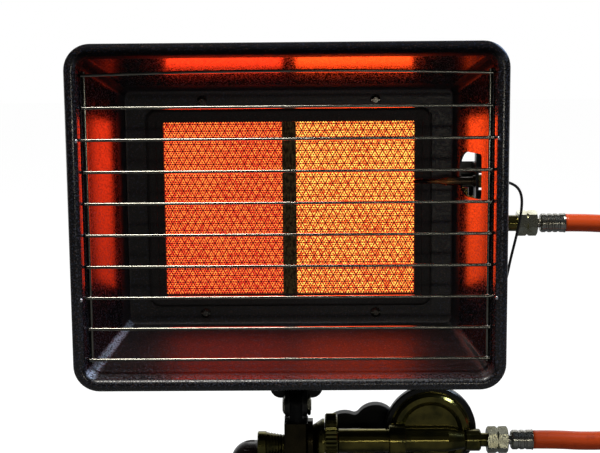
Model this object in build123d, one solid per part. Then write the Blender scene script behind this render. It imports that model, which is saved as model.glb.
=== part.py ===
from build123d import *
import os
from math import cos, hypot, pi, radians, sin, tan

# Portable propane heater: a two-tile radiant head that tilts on a post above a
# cylinder-top manifold with a low-pressure regulator. Millimetres, +Z up, the front
# faces -Y. The origin is on the post's axis, at the lower face of the cylinder's hand nut.

# ---- Driving dimensions -------------------------------------------------------------

# Fits
running = 0.05         # radial clearance of a turning or sliding fit
seat_gap = 0.3         # gap between pieces that move past each other
fit_gap = 0.1          # clearance of a fixed piece in its hole or pocket

# Where the head stands
head_x = -3.6          # head centre, to the left of the post
head_z = 230.0         # head centre above the hand nut's lower face
rim_y = -45.0          # centre plane of the rolled rim
pan_depth = 60.0       # from the rim's centre plane to the back plate

# Reflector
rim_w = 297.4
rim_h = 237.5
rim_bead_d = 9.0
sheet = 1.0
rim_curl_turn = 300.0  # degrees of the rolled edge
mouth_corner_r = 9.0
back_w = 234.6
back_margin = 0.3      # back plate above and below the burner box's flange
back_corner_r = 6.0
back_bend_r = 2.5      # inside radius of the bend between the walls and the back plate

# Guard
wire_d = 2.2
frame_wire_d = 2.4
guard_w = 272.2
guard_h = 195.0
guard_set_back = 3.5   # wires behind the rim's centre plane
guard_wires = 10
guard_hook_wires = (2, 7)
guard_hook_reach = 5.4
guard_overhang = 0.4    # wire ends past the upright wires
guard_top_bow = 2.2
guard_upright_over = 2.5
hook_hole_clear = 0.5   # added to the wire's diameter in the rim's four holes

# Burner
tile_w = 92.0
tile_h = 132.0
tile_t = 13.0
tile_edge_chamfer = 0.8
tile_pitch = 94.6
tile_lap_x = 3.65      # how far the bezel's face laps over the tiles
tile_lap_z = 3.5
packing_x = 7.4        # fibre packing beside the tiles
packing_z = 4.2        # fibre packing above and below them
window_corner_r = 2.0
bezel_corner_r = 8.0
bezel_edge_r = 2.4
bezel_step = 0.3       # the bead's inner edge behind its front
bezel_step_r = 4.0
bezel_rise = 4.2       # how far the bezel's bead stands out of the back plate
bezel_bead_w = 6.0
bezel_face_drop = 1.2  # face of the bezel behind its bead
flange_margin_x = 2.0  # flange beside the bezel
gasket_lip = 1.0
gasket_inset = 0.3     # gasket edge showing inside the bezel window
strip_w = 10.0
ledge_x = 3.3          # ledge under the tiles' side edges
ledge_z = 3.0          # ledge under their upper and lower edges
plenum_depth = 20.0
plenum_edge_r = 6.0
plenum_corner_r = 10.0
baffle_w = 120.0
baffle_h = 70.0
baffle_corner_r = 4.0
baffle_leg_inset = 10.0
baffle_from_back = 12.0
baffle_hole_d = 9.0
baffle_hole_at = (39.0, 52.0)
baffle_rows = (-20.0, 0.0, 20.0)
screw_spread_x = 123.7
screw_off = 5.5        # screws outside the bezel's upper and lower edges
screw_margin = 7.0     # flange outside the screws
screw_d = 4.0
screw_head_d = 7.4
screw_head_h = 2.0
screw_head_edge = 0.55  # share of the head's height that its side takes
screw_slot_w = 1.0
screw_slot_depth = 0.8
screw_thread_out = 1.5  # thread that stands out of the nut
screw_nut_af = 7.0
screw_nut_h = 3.2

# Gas train behind the head
gas_y = 62.0           # axis of the mixing tube, jet, valve and inlet
gas_z = 211.0
mixer_d = 21.0
mixer_wall = 1.0
mixer_bell_d = 30.0
mixer_throat_d = 16.0
mixer_mouth_x = 92.0
mixer_throat_x = 74.0
mixer_full_x = 20.0
mixer_bend_r = 14.0
mixer_entry_x = -45.0
mixer_collar_d = 29.0
mixer_collar_t = 1.5
mixer_overlap = 0.25    # collar's bore under the tube's outside
jet_tip_d = 7.0
jet_tip_l = 6.0
jet_bore_d = 0.9
jet_shank_d = 3.8
jet_shank_l = 5.0
jet_holder_af = 15.0
jet_holder_l = 15.0
jet_holder_way_d = 4.0
jet_holder_socket = 7.5  # valve's spigot inside the holder

# Flame failure valve
valve_x = 128.0
valve_d = 24.0
valve_h = 30.0
valve_pad_d = 19.0
valve_spigot_d = 12.0
valve_edge = 1.0
valve_boss_d = 18.0
valve_boss_out = 1.5    # inlet boss outside the barrel
valve_way_d = 5.0
bracket_t = 2.0
bracket_foot_r = 3.0
bracket_web_r = 8.0
bracket_web_x = 110.9  # inner face of the web that carries the valve
bracket_foot_l = 9.5
bracket_web_h = 28.0
bracket_foot_h = 42.0
bracket_web_reach = 12.0
bonnet_af = 20.0
bonnet_h = 8.0
guide_d = 10.0
guide_h = 4.0
button_d = 18.0
button_h = 11.0
button_travel = 5.0
button_stem_d = 5.0
button_wall = 1.6
button_spring_d = 13.0
button_spring_wire = 1.0
button_spring_turns = 3
magnet_nut_af = 19.0
magnet_nut_h = 9.0
magnet_can_d = 16.0
magnet_can_h = 17.0
magnet_can_edge = 1.2
tc_nut_af = 10.0
tc_nut_h = 10.0
lead_socket = 3.0       # lead inside the thermocouple's nut

# Thermocouple
probe_z = 250.2
probe_y = 0.0
probe_tip_x = 84.0
probe_sleeve_x = 108.0
probe_end_x = 144.0
probe_d = 6.0
probe_tip_d = 3.2
probe_collar_d = 8.0
probe_collar_l = 2.0
probe_taper_l = 6.0
probe_tip_edge = 1.2
probe_tail_l = 4.0
probe_nut_af = 9.0
probe_nut_h = 5.0
lead_d = 2.0
arm_x = 127.8          # inner face of the arm that carries the probe
arm_d = 9.0            # the arm's upright, front to back
arm_corner_r = 1.5
arm_lip_w = 3.9         # lip along the arm's front edge
arm_lip_gap = 6.0       # half the lip's opening at the probe's nut
arm_high = 21.8        # from the probe's axis up and down
arm_low = 12.2
strip_high = 12.3      # strip that joins the arm to the back plate
strip_low = 6.4
strip_widening = 4.8
window_d_len = 31.5    # D-shaped window in the right wall, front to back
window_d_h = 31.6
window_d_y = -10.2
window_d_z = 255.7
window_d_back_r = 12.0
window_d_front_r = 2.0

# Inlet and hose
nipple_af = 17.0
nipple_hex_l = 8.0
nipple_d = 12.2
nipple_in_nut = 6.0
hose_nut_af = 17.0
hose_nut_l = 15.0
hose_nut_web = 2.5     # end wall round the tail's neck
hose_nut_notch = 2.4
upper_nut_x = 166.8
neck_d = 7.0
neck_l = 2.4
shoulder_clear = 0.3    # tail's shoulder inside the nut
ferrule_d = 14.2
upper_ferrule_l = 18.8
lower_ferrule_l = 15.7
ferrule_groove = 0.5
ferrule_groove_pitch = 4.4
ferrule_edge = 1.2
ferrule_flare = 0.35
hose_d = 13.3
tail_bore_d = 4.0

# Tilt joint and post
pivot_z = 88.0
pivot_d = 8.0
post_d = 17.0
tongue_t = 9.2
pivot_washer_t = 0.9
ear_t = 2.5
ear_r = 8.5
tilt_plate_w = 38.6
tilt_plate_t = 2.5
tilt_plate_corner_r = 8.0
tilt_plate_lap = 11.0   # plate behind the burner box's flange
tilt_plate_bottom = 88.2
ear_top = 118.0
ear_foot = 91.5
tilt_screw_spread = 26.0
tilt_screw_up = 6.0     # screws above the flange's lower edge
bolt_head_d = 14.0
bolt_head_h = 1.8
pivot_nut_af = 13.0
pivot_nut_h = 2.6

# Manifold
line_z = 61.2          # outlet, regulator and lower hose
block_half = 8.5       # half width of the manifold block along X
block_front = 12.0
neck_back = 10.6        # rear of the block's neck, clear of the tilted plate
block_back = 26.0
block_bottom = 26.0
block_top = 77.0
block_rear_top = 60.0
block_chamfer = 1.5
boss_flange_d = 32.6
boss_flange_t = 3.6
gas_bore_d = 6.0
tap_way_d = 4.0
post_stub_d = 12.0
post_stub_l = 9.0
outlet_thread_d = 12.0
outlet_thread_x = 4.0
outlet_cone_small_d = 23.0
outlet_cone_big_d = 31.8
outlet_cone_l = 8.3
outlet_spigot_d = 18.0
outlet_spigot_l = 4.3
union_d = 39.2
union_l = 9.0
union_knurls = 40
knurl_depth = 0.9

# Relief valve and tap
relief_z = 58.5
relief_small_d = 14.0
relief_big_d = 18.0
relief_l = 13.0
relief_spigot_d = 8.0
relief_spigot_l = 5.0
relief_rings = 5
relief_ring_depth = 0.4
relief_cap_d = 19.2
relief_cap_l = 6.6
relief_cap_edge = 0.7
relief_vents = 4
relief_vent_d = 2.4
relief_vent_at = 5.0
relief_vent_depth = 4.0
tap_y = 15.0
tap_z = 41.0
gland_d = 14.0
gland_l = 15.5
gland_hex_l = 7.0
gland_hex_in = 2.0      # hexagon from the block's face
gland_spigot_d = 9.0
gland_spigot_l = 6.0
tap_spindle_d = 6.0
tap_knob_d = 31.0
tap_knob_l = 20.0
tap_knob_x = -28.7
tap_knob_flutes = 10
tap_flute_d = 4.0

# Regulator
barrel_d = 17.6
barrel_end_x = 64.4
union_collar_d = 17.2
union_neck_d = 13.0
reg_x = 98.0
reg_z = 66.0
reg_disc_d = 66.8
reg_flange_y = 9.0
reg_flange_t = 3.0
reg_dish_d = 57.0
reg_dish_front = 4.0
reg_boss_r = 20.0
reg_groove_r = 23.0     # shallow ring in the dish, outside the boss
reg_groove_depth = 1.5
reg_web_r = 24.0
reg_wall = 3.0
reg_lip_t = 1.4
reg_lip_w = 4.0
bar_d = 17.2
bar_taper_x = 110.0
bar_waist_x = 122.4
bar_waist_d = 12.4
bar_boss_d = 16.0
bar_end_x = 133.5
collar_d = 24.0
collar_x0 = 67.0
collar_x1 = 79.0
reg_neck_d = 10.0
spring_case_d = 38.0
spring_case_wall = 1.5
spring_case_end_y = 40.0
case_shoulder_y = 19.5
reg_cap_d = 30.0
reg_cap_h = 6.0
diaphragm_t = 0.8
diaphragm_plate_d = 34.0
reg_spring_d = 24.0
reg_spring_wire = 2.0
reg_spring_turns = 4
shutoff_x = 48.9
shutoff_z = 55.5
shutoff_boss_d = 17.0
shutoff_boss_y = 11.0
shutoff_gland_af = 14.0
shutoff_gland_l = 5.0
shutoff_spindle_d = 5.0
knob_front_y = 21.0
knob_t = 12.0
knob_lobe_r = 16.3
knob_lobe_at = 13.7
knob_lobe_turn = 45.0  # of the first lobe, from +X towards +Z
knob_cusp_r = 4.0
knob_edge_r = 3.0
lower_nut_x = 138.1

# Cylinder connection
hand_nut_d = 40.0
hand_nut_h = 24.0
hand_nut_knurls = 36
thread_r = 10.4
thread_l = 12.0
nut_chamber_r = 11.2
nut_chamber_l = 6.0
nut_neck_r = 7.2
stem_r = 6.5
stem_collar_r = 10.0
stem_collar_t = 4.0
stem_spigot_r = 5.0
stem_spigot_l = 7.5
seal_t = 1.4

# ---- Values worked out from them ----------------------------------------------------

back_y = rim_y + pan_depth              # front face of the reflector's back plate
back_rear_y = back_y + sheet
rim_bead_r = rim_bead_d / 2
tile_block_w = tile_pitch + tile_w
window_w = tile_block_w - 2 * tile_lap_x
window_h = tile_h - 2 * tile_lap_z
bezel_w = tile_block_w + 2 * (packing_x + sheet) + 6 * fit_gap
bezel_h = tile_h + 2 * (packing_z + sheet) + 6 * fit_gap
screw_spread_z = bezel_h + 2 * screw_off
flange_w = bezel_w + 2 * flange_margin_x
flange_h = screw_spread_z + 2 * screw_margin
flange_low_z = head_z - flange_h / 2
back_h = flange_h + 2 * back_margin
tilt_plate_top = flange_low_z + tilt_plate_lap
tilt_screw_z = flange_low_z + tilt_screw_up
plenum_w = tile_block_w - 2 * ledge_x
plenum_h = tile_h - 2 * ledge_z
mouth_w = rim_w - 2 * rim_bead_d
mouth_h = rim_h - 2 * rim_bead_d
guard_y = rim_y + guard_set_back
bezel_flange_y = back_rear_y            # bezel flange lies on the back plate's rear face
bezel_front_y = back_y - bezel_rise
bezel_face_y = bezel_front_y + bezel_face_drop
gasket_y = bezel_face_y + sheet
tile_y = gasket_y + gasket_lip
tile_back_y = tile_y + tile_t
plenum_flange_y = bezel_flange_y + sheet
plenum_ledge_y = tile_back_y
plenum_back_y = plenum_ledge_y + sheet + plenum_depth
bracket_foot_y = back_rear_y
web_outer_x = bracket_web_x + bracket_t
valve_bottom_z = gas_z - valve_h / 2
valve_top_z = gas_z + valve_h / 2
magnet_bottom_z = valve_bottom_z - magnet_nut_h - magnet_can_h
tc_nut_bottom_z = magnet_bottom_z - tc_nut_h
button_under_z = valve_top_z + bonnet_h + guide_h + button_travel + seat_gap
upper_hose_x = upper_nut_x + hose_nut_l + neck_l + upper_ferrule_l
lower_hose_x = lower_nut_x + hose_nut_l + neck_l + lower_ferrule_l
ear_in_x = tongue_t / 2 + running + pivot_washer_t
ear_out_x = ear_in_x + ear_t
tilt_plate_y = plenum_flange_y + sheet
cone_x = block_half + boss_flange_t
spigot_x = cone_x + outlet_cone_l
union_x = spigot_x + seat_gap
barrel_x = union_x + union_l + seat_gap
union_web_l = 2.4
knob_back_y = knob_front_y + knob_t
stem_top_z = block_bottom

# ---- Shared shapes ------------------------------------------------------------------


def along_x(x, y, z):
    """Plane whose normal is +X, with local x along +Y and local y along +Z."""
    return Plane(origin=(x, y, z), x_dir=(0, 1, 0), z_dir=(1, 0, 0))


def along_y(x, y, z):
    """Plane whose normal is +Y, with local x along -X and local y along +Z."""
    return Plane(origin=(x, y, z), x_dir=(-1, 0, 0), z_dir=(0, 1, 0))


def along_z(x, y, z):
    return Plane(origin=(x, y, z), x_dir=(1, 0, 0), z_dir=(0, 0, 1))


def slab(sketch, front, back, x=0.0, z=0.0):
    """Sketch drawn as seen from the front, given depth from front to back along Y."""
    plane = Plane(origin=(x, back, z), x_dir=(1, 0, 0), z_dir=(0, -1, 0))
    return extrude(plane * sketch, amount=back - front)


def side_plate(sketch, x0, x1, y=0.0, z=0.0):
    """Sketch in the Y-Z plane, given thickness from x0 to x1."""
    return extrude(along_x(x0, y, z) * sketch, amount=x1 - x0)


def rod(plane, diameter, length):
    return extrude(plane * Circle(diameter / 2), amount=length)


def tube(plane, diameter, bore, length):
    return extrude(plane * (Circle(diameter / 2) - Circle(bore / 2)), amount=length)


def hexagon(plane, across_flats, length, turn=0.0):
    shape = RegularPolygon(across_flats / 2, 6, major_radius=False, rotation=turn)
    return extrude(plane * shape, amount=length)


def turned(plane, profile):
    """Solid of revolution about the plane's normal, from (distance, radius) points."""
    outline = Polyline(*[(radius, distance) for distance, radius in profile], close=True)
    return plane * revolve(Plane.XZ * make_face(outline), Axis.Z)


def hex_nut(plane, across_flats, length, bore, turn=0.0):
    """Hexagon with both ends turned down, so that its corners are rounded off."""
    corner_r = across_flats / 2 / cos(pi / 6) + 0.05
    flat_r = across_flats / 2 - 0.1
    bevel = (corner_r - flat_r) * tan(radians(30))
    barrel = turned(
        plane,
        [(0, 0), (0, flat_r), (bevel, corner_r), (length - bevel, corner_r), (length, flat_r), (length, 0)],
    )
    body = hexagon(plane, across_flats, length, turn) & barrel
    return body - rod(plane, bore, length) if bore else body


def knurled_disc(diameter, notches, depth):
    """Round outline with a straight knurl of V-shaped notches."""
    points = []
    for k in range(notches):
        crest = 2 * pi * k / notches
        root = 2 * pi * (k + 0.5) / notches
        points.append((diameter / 2 * cos(crest), diameter / 2 * sin(crest)))
        points.append(((diameter / 2 - depth) * cos(root), (diameter / 2 - depth) * sin(root)))
    return make_face(Polyline(*points, close=True))


def coil_spring(plane, mean_d, wire, length, turns):
    """Compression spring: a helix of round wire whose two ends stand on flat faces."""
    rise = length - wire
    path = Helix(pitch=rise / turns, height=rise, radius=mean_d / 2)
    section = Plane(origin=path @ 0, z_dir=path % 0) * Circle(wire / 2)
    return plane * (Pos(0, 0, wire / 2) * sweep(section, path=path))


# ---- Reflector, guard and burner ----------------------------------------------------


def corner_arc_section(outward, start):
    """The rolled edge's C-shaped section, set square to the rim at a point of its centre line."""
    plane = Plane(origin=start, x_dir=outward, z_dir=Vector(outward).cross(Vector(0, 1, 0)))
    outer = rim_bead_r
    inner = rim_bead_r - sheet
    end = radians(180 + rim_curl_turn)
    edges = [
        CenterArc((0, 0), outer, 180, rim_curl_turn),
        Line((outer * cos(end), outer * sin(end)), (inner * cos(end), inner * sin(end))),
        CenterArc((0, 0), inner, 180, rim_curl_turn),
        Line((-outer, 0), (-inner, 0)),
    ]
    return plane, plane * make_face(edges)


def rolled_rim():
    """Rolled edge round the mouth: four straight lengths and four quarter turns."""
    half_w = rim_w / 2 - rim_bead_r
    half_h = rim_h / 2 - rim_bead_r
    corner_r = mouth_corner_r + rim_bead_r
    pieces = []
    for outward, across, along in (
        ((1, 0, 0), half_w, half_h),
        ((0, 0, 1), half_h, half_w),
        ((-1, 0, 0), half_w, half_h),
        ((0, 0, -1), half_h, half_w),
    ):
        out = Vector(outward)
        forward = out.cross(Vector(0, 1, 0))
        centre = Vector(head_x, rim_y, head_z)
        start = centre + out * across - forward * (along - corner_r)
        section = corner_arc_section(outward, start)[1]
        pieces.append(extrude(section, amount=2 * (along - corner_r), dir=forward))
        end = centre + out * across + forward * (along - corner_r)
        pivot = end - out * corner_r
        corner = corner_arc_section(outward, end)[1]
        pieces.append(revolve(corner, Axis(pivot, (0, -1, 0)), revolution_arc=90))
    return pieces


def pan_block(extra, back):
    """Flared block under the pan's surface, grown by extra on every side."""
    mouth = RectangleRounded(mouth_w + 2 * extra, mouth_h + 2 * extra, mouth_corner_r + extra)
    bottom = RectangleRounded(back_w + 2 * extra, back_h + 2 * extra, back_corner_r + extra)
    front_plane = Plane(origin=(head_x, rim_y, head_z), x_dir=(1, 0, 0), z_dir=(0, -1, 0))
    back_plane = Plane(origin=(head_x, back, head_z), x_dir=(1, 0, 0), z_dir=(0, -1, 0))
    block = loft([front_plane * mouth, back_plane * bottom])
    return fillet(block.faces().sort_by(Axis.Y)[-1].edges(), back_bend_r + extra)


def screw_points():
    """The four burner screws, from the head's centre."""
    half_x = screw_spread_x / 2
    half_z = screw_spread_z / 2
    return [(sx * half_x, sz * half_z) for sx in (-1, 1) for sz in (-1, 1)]


def guard_wire_z(k):
    return guard_h / 2 - k * guard_h / (guard_wires - 1)


def d_window():
    """Window for the thermocouple: flat towards the rim, rounded towards the back plate."""
    shape = Rectangle(window_d_len, window_d_h)
    back = shape.vertices().group_by(Axis.X)[-1]
    front = shape.vertices().group_by(Axis.X)[0]
    shape = fillet(back, window_d_back_r)
    shape = fillet(shape.vertices().group_by(Axis.X)[0], window_d_front_r)
    reach = back_w / 4
    return side_plate(shape, head_x + back_w / 2 - reach / 2, head_x + rim_w / 2 + 1, window_d_y, window_d_z)


def reflector():
    pan = pan_block(sheet, back_rear_y) - pan_block(0, back_y)
    for piece in rolled_rim():
        pan += piece
    hole = RectangleRounded(bezel_w + 4 * fit_gap, bezel_h + 4 * fit_gap, bezel_corner_r)
    pan -= slab(hole, back_y - 1, back_rear_y + 1, head_x, head_z)
    for x, z in screw_points():
        pan -= slab(Circle(screw_d / 2 + fit_gap), back_y - 1, back_rear_y + 1, head_x + x, head_z + z)
    reach = mouth_w / 2 + sheet
    hook_hole = rod(along_x(head_x - reach, guard_y, head_z), wire_d + hook_hole_clear, 2 * reach)
    for k in guard_hook_wires:
        pan -= Pos(0, 0, guard_wire_z(k)) * hook_hole
    return pan - d_window()


def guard():
    """Grille of wires across, with two upright wires behind; four ends hook into the rim."""
    half = guard_w / 2
    upright_y = guard_y + (wire_d + frame_wire_d) / 2
    upright_l = guard_h + 2 * guard_upright_over
    wires = []
    for side in (-1, 1):
        foot = along_z(head_x + side * half, upright_y, head_z - upright_l / 2)
        wires.append(rod(foot, frame_wire_d, upright_l))
    for k in range(guard_wires):
        z = head_z + guard_wire_z(k)
        overhang = frame_wire_d / 2 + guard_overhang
        reach = half + (guard_hook_reach if k in guard_hook_wires else overhang)
        if k == 0:
            left = Vector(head_x - reach, guard_y, z)
            crest = Vector(head_x, guard_y, z + guard_top_bow)
            path = ThreePointArc(left, crest, Vector(head_x + reach, guard_y, z))
            section = Plane(origin=left, z_dir=path % 0) * Circle(wire_d / 2)
            wires.append(sweep(section, path=path))
        else:
            wires.append(rod(along_x(head_x - reach, guard_y, z), wire_d, 2 * reach))
    return wires


def burner_frame():
    """Pressed bezel: flange, riser, rounded bead and the face with its window."""
    outer = slab(RectangleRounded(bezel_w, bezel_h, bezel_corner_r), bezel_front_y, plenum_flange_y)
    front_edges = outer.faces().sort_by(Axis.Y)[0].edges()
    outer = fillet(front_edges, bezel_edge_r)
    inner_r = bezel_corner_r - sheet
    inner = RectangleRounded(bezel_w - 2 * sheet, bezel_h - 2 * sheet, inner_r)
    body = outer - slab(inner, bezel_front_y + sheet, plenum_flange_y + 1)
    face_w = bezel_w - 2 * bezel_bead_w
    face_h = bezel_h - 2 * bezel_bead_w
    step = RectangleRounded(face_w, face_h, bezel_step_r)
    sunk = RectangleRounded(face_w - 2 * sheet, face_h - 2 * sheet, bezel_step_r - sheet)
    body -= slab(sunk, bezel_front_y - 1, bezel_front_y + sheet + 1)
    body += slab(step - sunk, bezel_front_y + bezel_step, gasket_y)
    window = RectangleRounded(window_w, window_h, window_corner_r)
    body += slab(sunk - window, bezel_face_y, gasket_y)
    flange = RectangleRounded(flange_w, flange_h, bezel_corner_r) - inner
    body += slab(flange, bezel_flange_y, plenum_flange_y)
    for x, z in screw_points():
        body -= slab(Circle(screw_d / 2 + fit_gap), back_y, plenum_flange_y + 1, x, z)
    return Pos(head_x, 0, head_z) * body


def tile(side):
    """Ceramic plaque with broken edges; its fine perforation is surface finish."""
    block = slab(Rectangle(tile_w, tile_h), tile_y, tile_back_y)
    block = chamfer(block.faces().sort_by(Axis.Y)[0].edges(), tile_edge_chamfer)
    return Pos(head_x + side * tile_pitch / 2, 0, head_z) * block


def centre_strip():
    """Fibre strip of T section that closes the joint between the tiles."""
    gap = tile_pitch - tile_w - 2 * fit_gap
    cap = slab(Rectangle(strip_w, window_h - 2 * gasket_inset - 2 * fit_gap), gasket_y, tile_y)
    web = slab(Rectangle(gap, tile_h), tile_y, tile_back_y)
    return Pos(head_x, 0, head_z) * (cap + web)


def tile_gasket():
    """Fibre frame of L section: a lip in front of the tiles and packing round them."""
    pocket_w = bezel_w - 2 * sheet - 4 * fit_gap
    pocket_h = bezel_h - 2 * sheet - 4 * fit_gap
    lip_w = bezel_w - 2 * bezel_bead_w
    lip_h = bezel_h - 2 * bezel_bead_w
    window = Rectangle(window_w - 2 * gasket_inset, window_h - 2 * gasket_inset)
    tiles = Rectangle(tile_block_w + 2 * fit_gap, tile_h + 2 * fit_gap)
    lip = slab(Rectangle(lip_w, lip_h) - window, gasket_y, tile_y)
    pocket_r = bezel_corner_r - sheet - 2 * fit_gap
    packing = slab(RectangleRounded(pocket_w, pocket_h, pocket_r) - tiles, tile_y, tile_back_y)
    return Pos(head_x, 0, head_z) * (lip + packing)


def plenum():
    """Pressed burner box: flange, pocket for the tiles, ledge and the deep box."""
    flange = RectangleRounded(flange_w, flange_h, bezel_corner_r)
    pocket = RectangleRounded(bezel_w, bezel_h, bezel_corner_r)
    pocket_in = RectangleRounded(bezel_w - 2 * sheet, bezel_h - 2 * sheet, bezel_corner_r - sheet)
    box = slab(RectangleRounded(plenum_w, plenum_h, plenum_corner_r), plenum_ledge_y, plenum_back_y)
    box = fillet(box.faces().sort_by(Axis.Y)[-1].edges(), plenum_edge_r)
    inner_back = plenum_back_y - sheet
    box_in = slab(
        RectangleRounded(plenum_w - 2 * sheet, plenum_h - 2 * sheet, plenum_corner_r - sheet),
        plenum_ledge_y, inner_back,
    )
    box_in = fillet(box_in.faces().sort_by(Axis.Y)[-1].edges(), plenum_edge_r - sheet)
    body = slab(flange - pocket_in, plenum_flange_y, plenum_flange_y + sheet)
    body += slab(pocket - pocket_in, plenum_flange_y, plenum_ledge_y + sheet)
    body += slab(pocket, plenum_ledge_y, plenum_ledge_y + sheet)
    body = body + box - box_in
    for x, z in screw_points():
        body -= slab(Circle(screw_d / 2 + fit_gap), back_y, plenum_flange_y + 2, x, z)
    body = Pos(head_x, 0, head_z) * body
    entry = along_y(mixer_entry_x, inner_back - 1, gas_z)
    return body - rod(entry, mixer_d + 2 * fit_gap, sheet + 2)


def plenum_baffle():
    """Spreader plate on two bent legs, with a field of round holes."""
    front = plenum_back_y - sheet - baffle_from_back
    plate = slab(RectangleRounded(baffle_w, baffle_h, baffle_corner_r), front, front + sheet)
    for at in baffle_hole_at:
        for row in baffle_rows:
            for side in (-1, 1):
                plate -= slab(Circle(baffle_hole_d / 2), front - 1, front + 2, side * at, row)
    for side in (-1, 1):
        leg_z = side * (baffle_h / 2 - sheet / 2)
        plate += slab(Rectangle(baffle_w - 2 * baffle_leg_inset, sheet), front, plenum_back_y - sheet, 0, leg_z)
    return Pos((mixer_entry_x + head_x) / 2, 0, gas_z) * plate


def mixing_tube():
    """Bell mouth, throat, diffuser, straight length and a bend into the burner box."""
    bend_x = mixer_entry_x + mixer_bend_r
    bend_y = gas_y - mixer_bend_r
    straight_l = mixer_mouth_x - bend_x
    throat = mixer_mouth_x - mixer_throat_x
    full = mixer_mouth_x - mixer_full_x
    plane = Plane(origin=(mixer_mouth_x, gas_y, gas_z), x_dir=(0, 1, 0), z_dir=(-1, 0, 0))

    def bore(extra):
        bell_r = mixer_bell_d / 2 + extra
        throat_r = mixer_throat_d / 2 + extra
        full_r = mixer_d / 2 - mixer_wall + extra
        curve = Spline(
            [(bell_r, 0), (throat_r, throat)],
            tangents=[(-1, 0.9), (0, 1)],
        )
        outline = curve + Polyline(
            (throat_r, throat), (full_r, full), (full_r, straight_l), (0, straight_l), (0, 0), (bell_r, 0)
        )
        straight = plane * revolve(Plane.XZ * make_face(outline), Axis.Z)
        end = Plane(origin=(bend_x, gas_y, gas_z), x_dir=(0, 1, 0), z_dir=(-1, 0, 0))
        pivot = Axis((bend_x, bend_y, gas_z), (0, 0, 1))
        elbow = revolve(end * Circle(full_r), pivot, revolution_arc=90)
        stub = rod(
            Plane(origin=(mixer_entry_x, bend_y, gas_z), x_dir=(1, 0, 0), z_dir=(0, -1, 0)),
            2 * full_r,
            sheet,
        )
        return straight + elbow + stub

    tube_solid = bore(mixer_wall) - bore(0)
    collar = tube(
        along_y(mixer_entry_x, plenum_back_y, gas_z), mixer_collar_d, mixer_d - 2 * mixer_overlap, mixer_collar_t
    )
    return tube_solid + (collar - bore(0))


def burner_screws():
    """Four pan-head screws through the back plate, each with its nut behind."""
    parts = []
    rear = plenum_flange_y + sheet
    for x, z in screw_points():
        px = head_x + x
        pz = head_z + z
        head = turned(
            Plane(origin=(px, back_y, pz), x_dir=(1, 0, 0), z_dir=(0, -1, 0)),
            [
                (0, 0), (0, screw_head_d / 2), (screw_head_h * screw_head_edge, screw_head_d / 2 - 0.3),
                (screw_head_h, screw_head_d / 4), (screw_head_h, 0),
            ],
        )
        slot = Pos(px, back_y - screw_head_h, pz) * Box(screw_head_d, 2 * screw_slot_depth, screw_slot_w)
        shank = rod(along_y(px, back_y, pz), screw_d, rear + screw_nut_h + screw_thread_out - back_y)
        parts.append(head - slot + shank)
        nut = hex_nut(along_y(px, rear, pz), screw_nut_af, screw_nut_h, screw_d + fit_gap)
        parts.append(nut)
    return parts


# ---- Gas train behind the head ------------------------------------------------------


def valve_bracket():
    """Bent bracket: a foot welded to the back plate and a web that the valve clamps on."""
    foot_x0 = bracket_web_x - bracket_foot_l
    foot_mid = (foot_x0 + web_outer_x) / 2
    foot = slab(
        RectangleRounded(web_outer_x - foot_x0, bracket_foot_h, bracket_foot_r),
        bracket_foot_y, bracket_foot_y + bracket_t, foot_mid, gas_z,
    )
    reach = gas_y + bracket_web_reach
    web = Rectangle(reach - bracket_foot_y, bracket_web_h)
    web = fillet(web.vertices().group_by(Axis.X)[-1], bracket_web_r)
    web = side_plate(web, bracket_web_x, web_outer_x, (reach + bracket_foot_y) / 2, gas_z)
    hole = rod(along_x(bracket_web_x - 1, gas_y, gas_z), valve_spigot_d + 2 * fit_gap, bracket_t + 2)
    return foot + web - hole


def safety_valve():
    """Forged body: upright barrel, pad and spigot on the left, inlet boss on the right."""
    barrel = rod(along_z(valve_x, gas_y, valve_bottom_z), valve_d, valve_h)
    barrel = chamfer(barrel.edges().filter_by(GeomType.CIRCLE), valve_edge)
    pad = rod(along_x(web_outer_x, gas_y, gas_z), valve_pad_d, valve_x - web_outer_x)
    spigot_l = bracket_t + jet_holder_socket
    spigot = rod(along_x(web_outer_x - spigot_l, gas_y, gas_z), valve_spigot_d, spigot_l)
    inlet = rod(along_x(valve_x, gas_y, gas_z), valve_boss_d, valve_d / 2 + valve_boss_out)
    way = rod(along_x(web_outer_x - spigot_l, gas_y, gas_z), valve_way_d, spigot_l + valve_d / 4)
    return barrel + pad + spigot + inlet - way


def jet_holder():
    """Hexagon that screws on the valve's spigot and clamps the web against its pad."""
    x0 = bracket_web_x - jet_holder_l
    body = hex_nut(along_x(x0, gas_y, gas_z), jet_holder_af, jet_holder_l, jet_holder_way_d)
    socket_l = jet_holder_socket + fit_gap
    socket = rod(along_x(bracket_web_x - socket_l, gas_y, gas_z), valve_spigot_d + 2 * fit_gap, socket_l)
    return body - socket


def jet():
    """Injector with a conical nose and a fine bore."""
    x0 = bracket_web_x - jet_holder_l
    plane = Plane(origin=(x0, gas_y, gas_z), x_dir=(0, 1, 0), z_dir=(-1, 0, 0))
    nose = turned(
        plane,
        [(-jet_shank_l, 0), (-jet_shank_l, jet_shank_d / 2), (0, jet_shank_d / 2), (0, jet_tip_d / 2),
         (jet_tip_l * 0.6, jet_tip_d / 2),
         (jet_tip_l, jet_tip_d / 4), (jet_tip_l, 0)],
    )
    return nose - rod(along_x(x0 - jet_tip_l, gas_y, gas_z), jet_bore_d, jet_tip_l + jet_shank_l)


def valve_bonnet():
    """Hexagon on top of the valve with the button's guide."""
    body = hex_nut(along_z(valve_x, gas_y, valve_top_z), bonnet_af, bonnet_h, 0)
    body += rod(along_z(valve_x, gas_y, valve_top_z + bonnet_h), guide_d, guide_h)
    stem_hole = rod(
        along_z(valve_x, gas_y, valve_top_z), button_stem_d + 2 * running, bonnet_h + guide_h
    )
    return body - stem_hole


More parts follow.
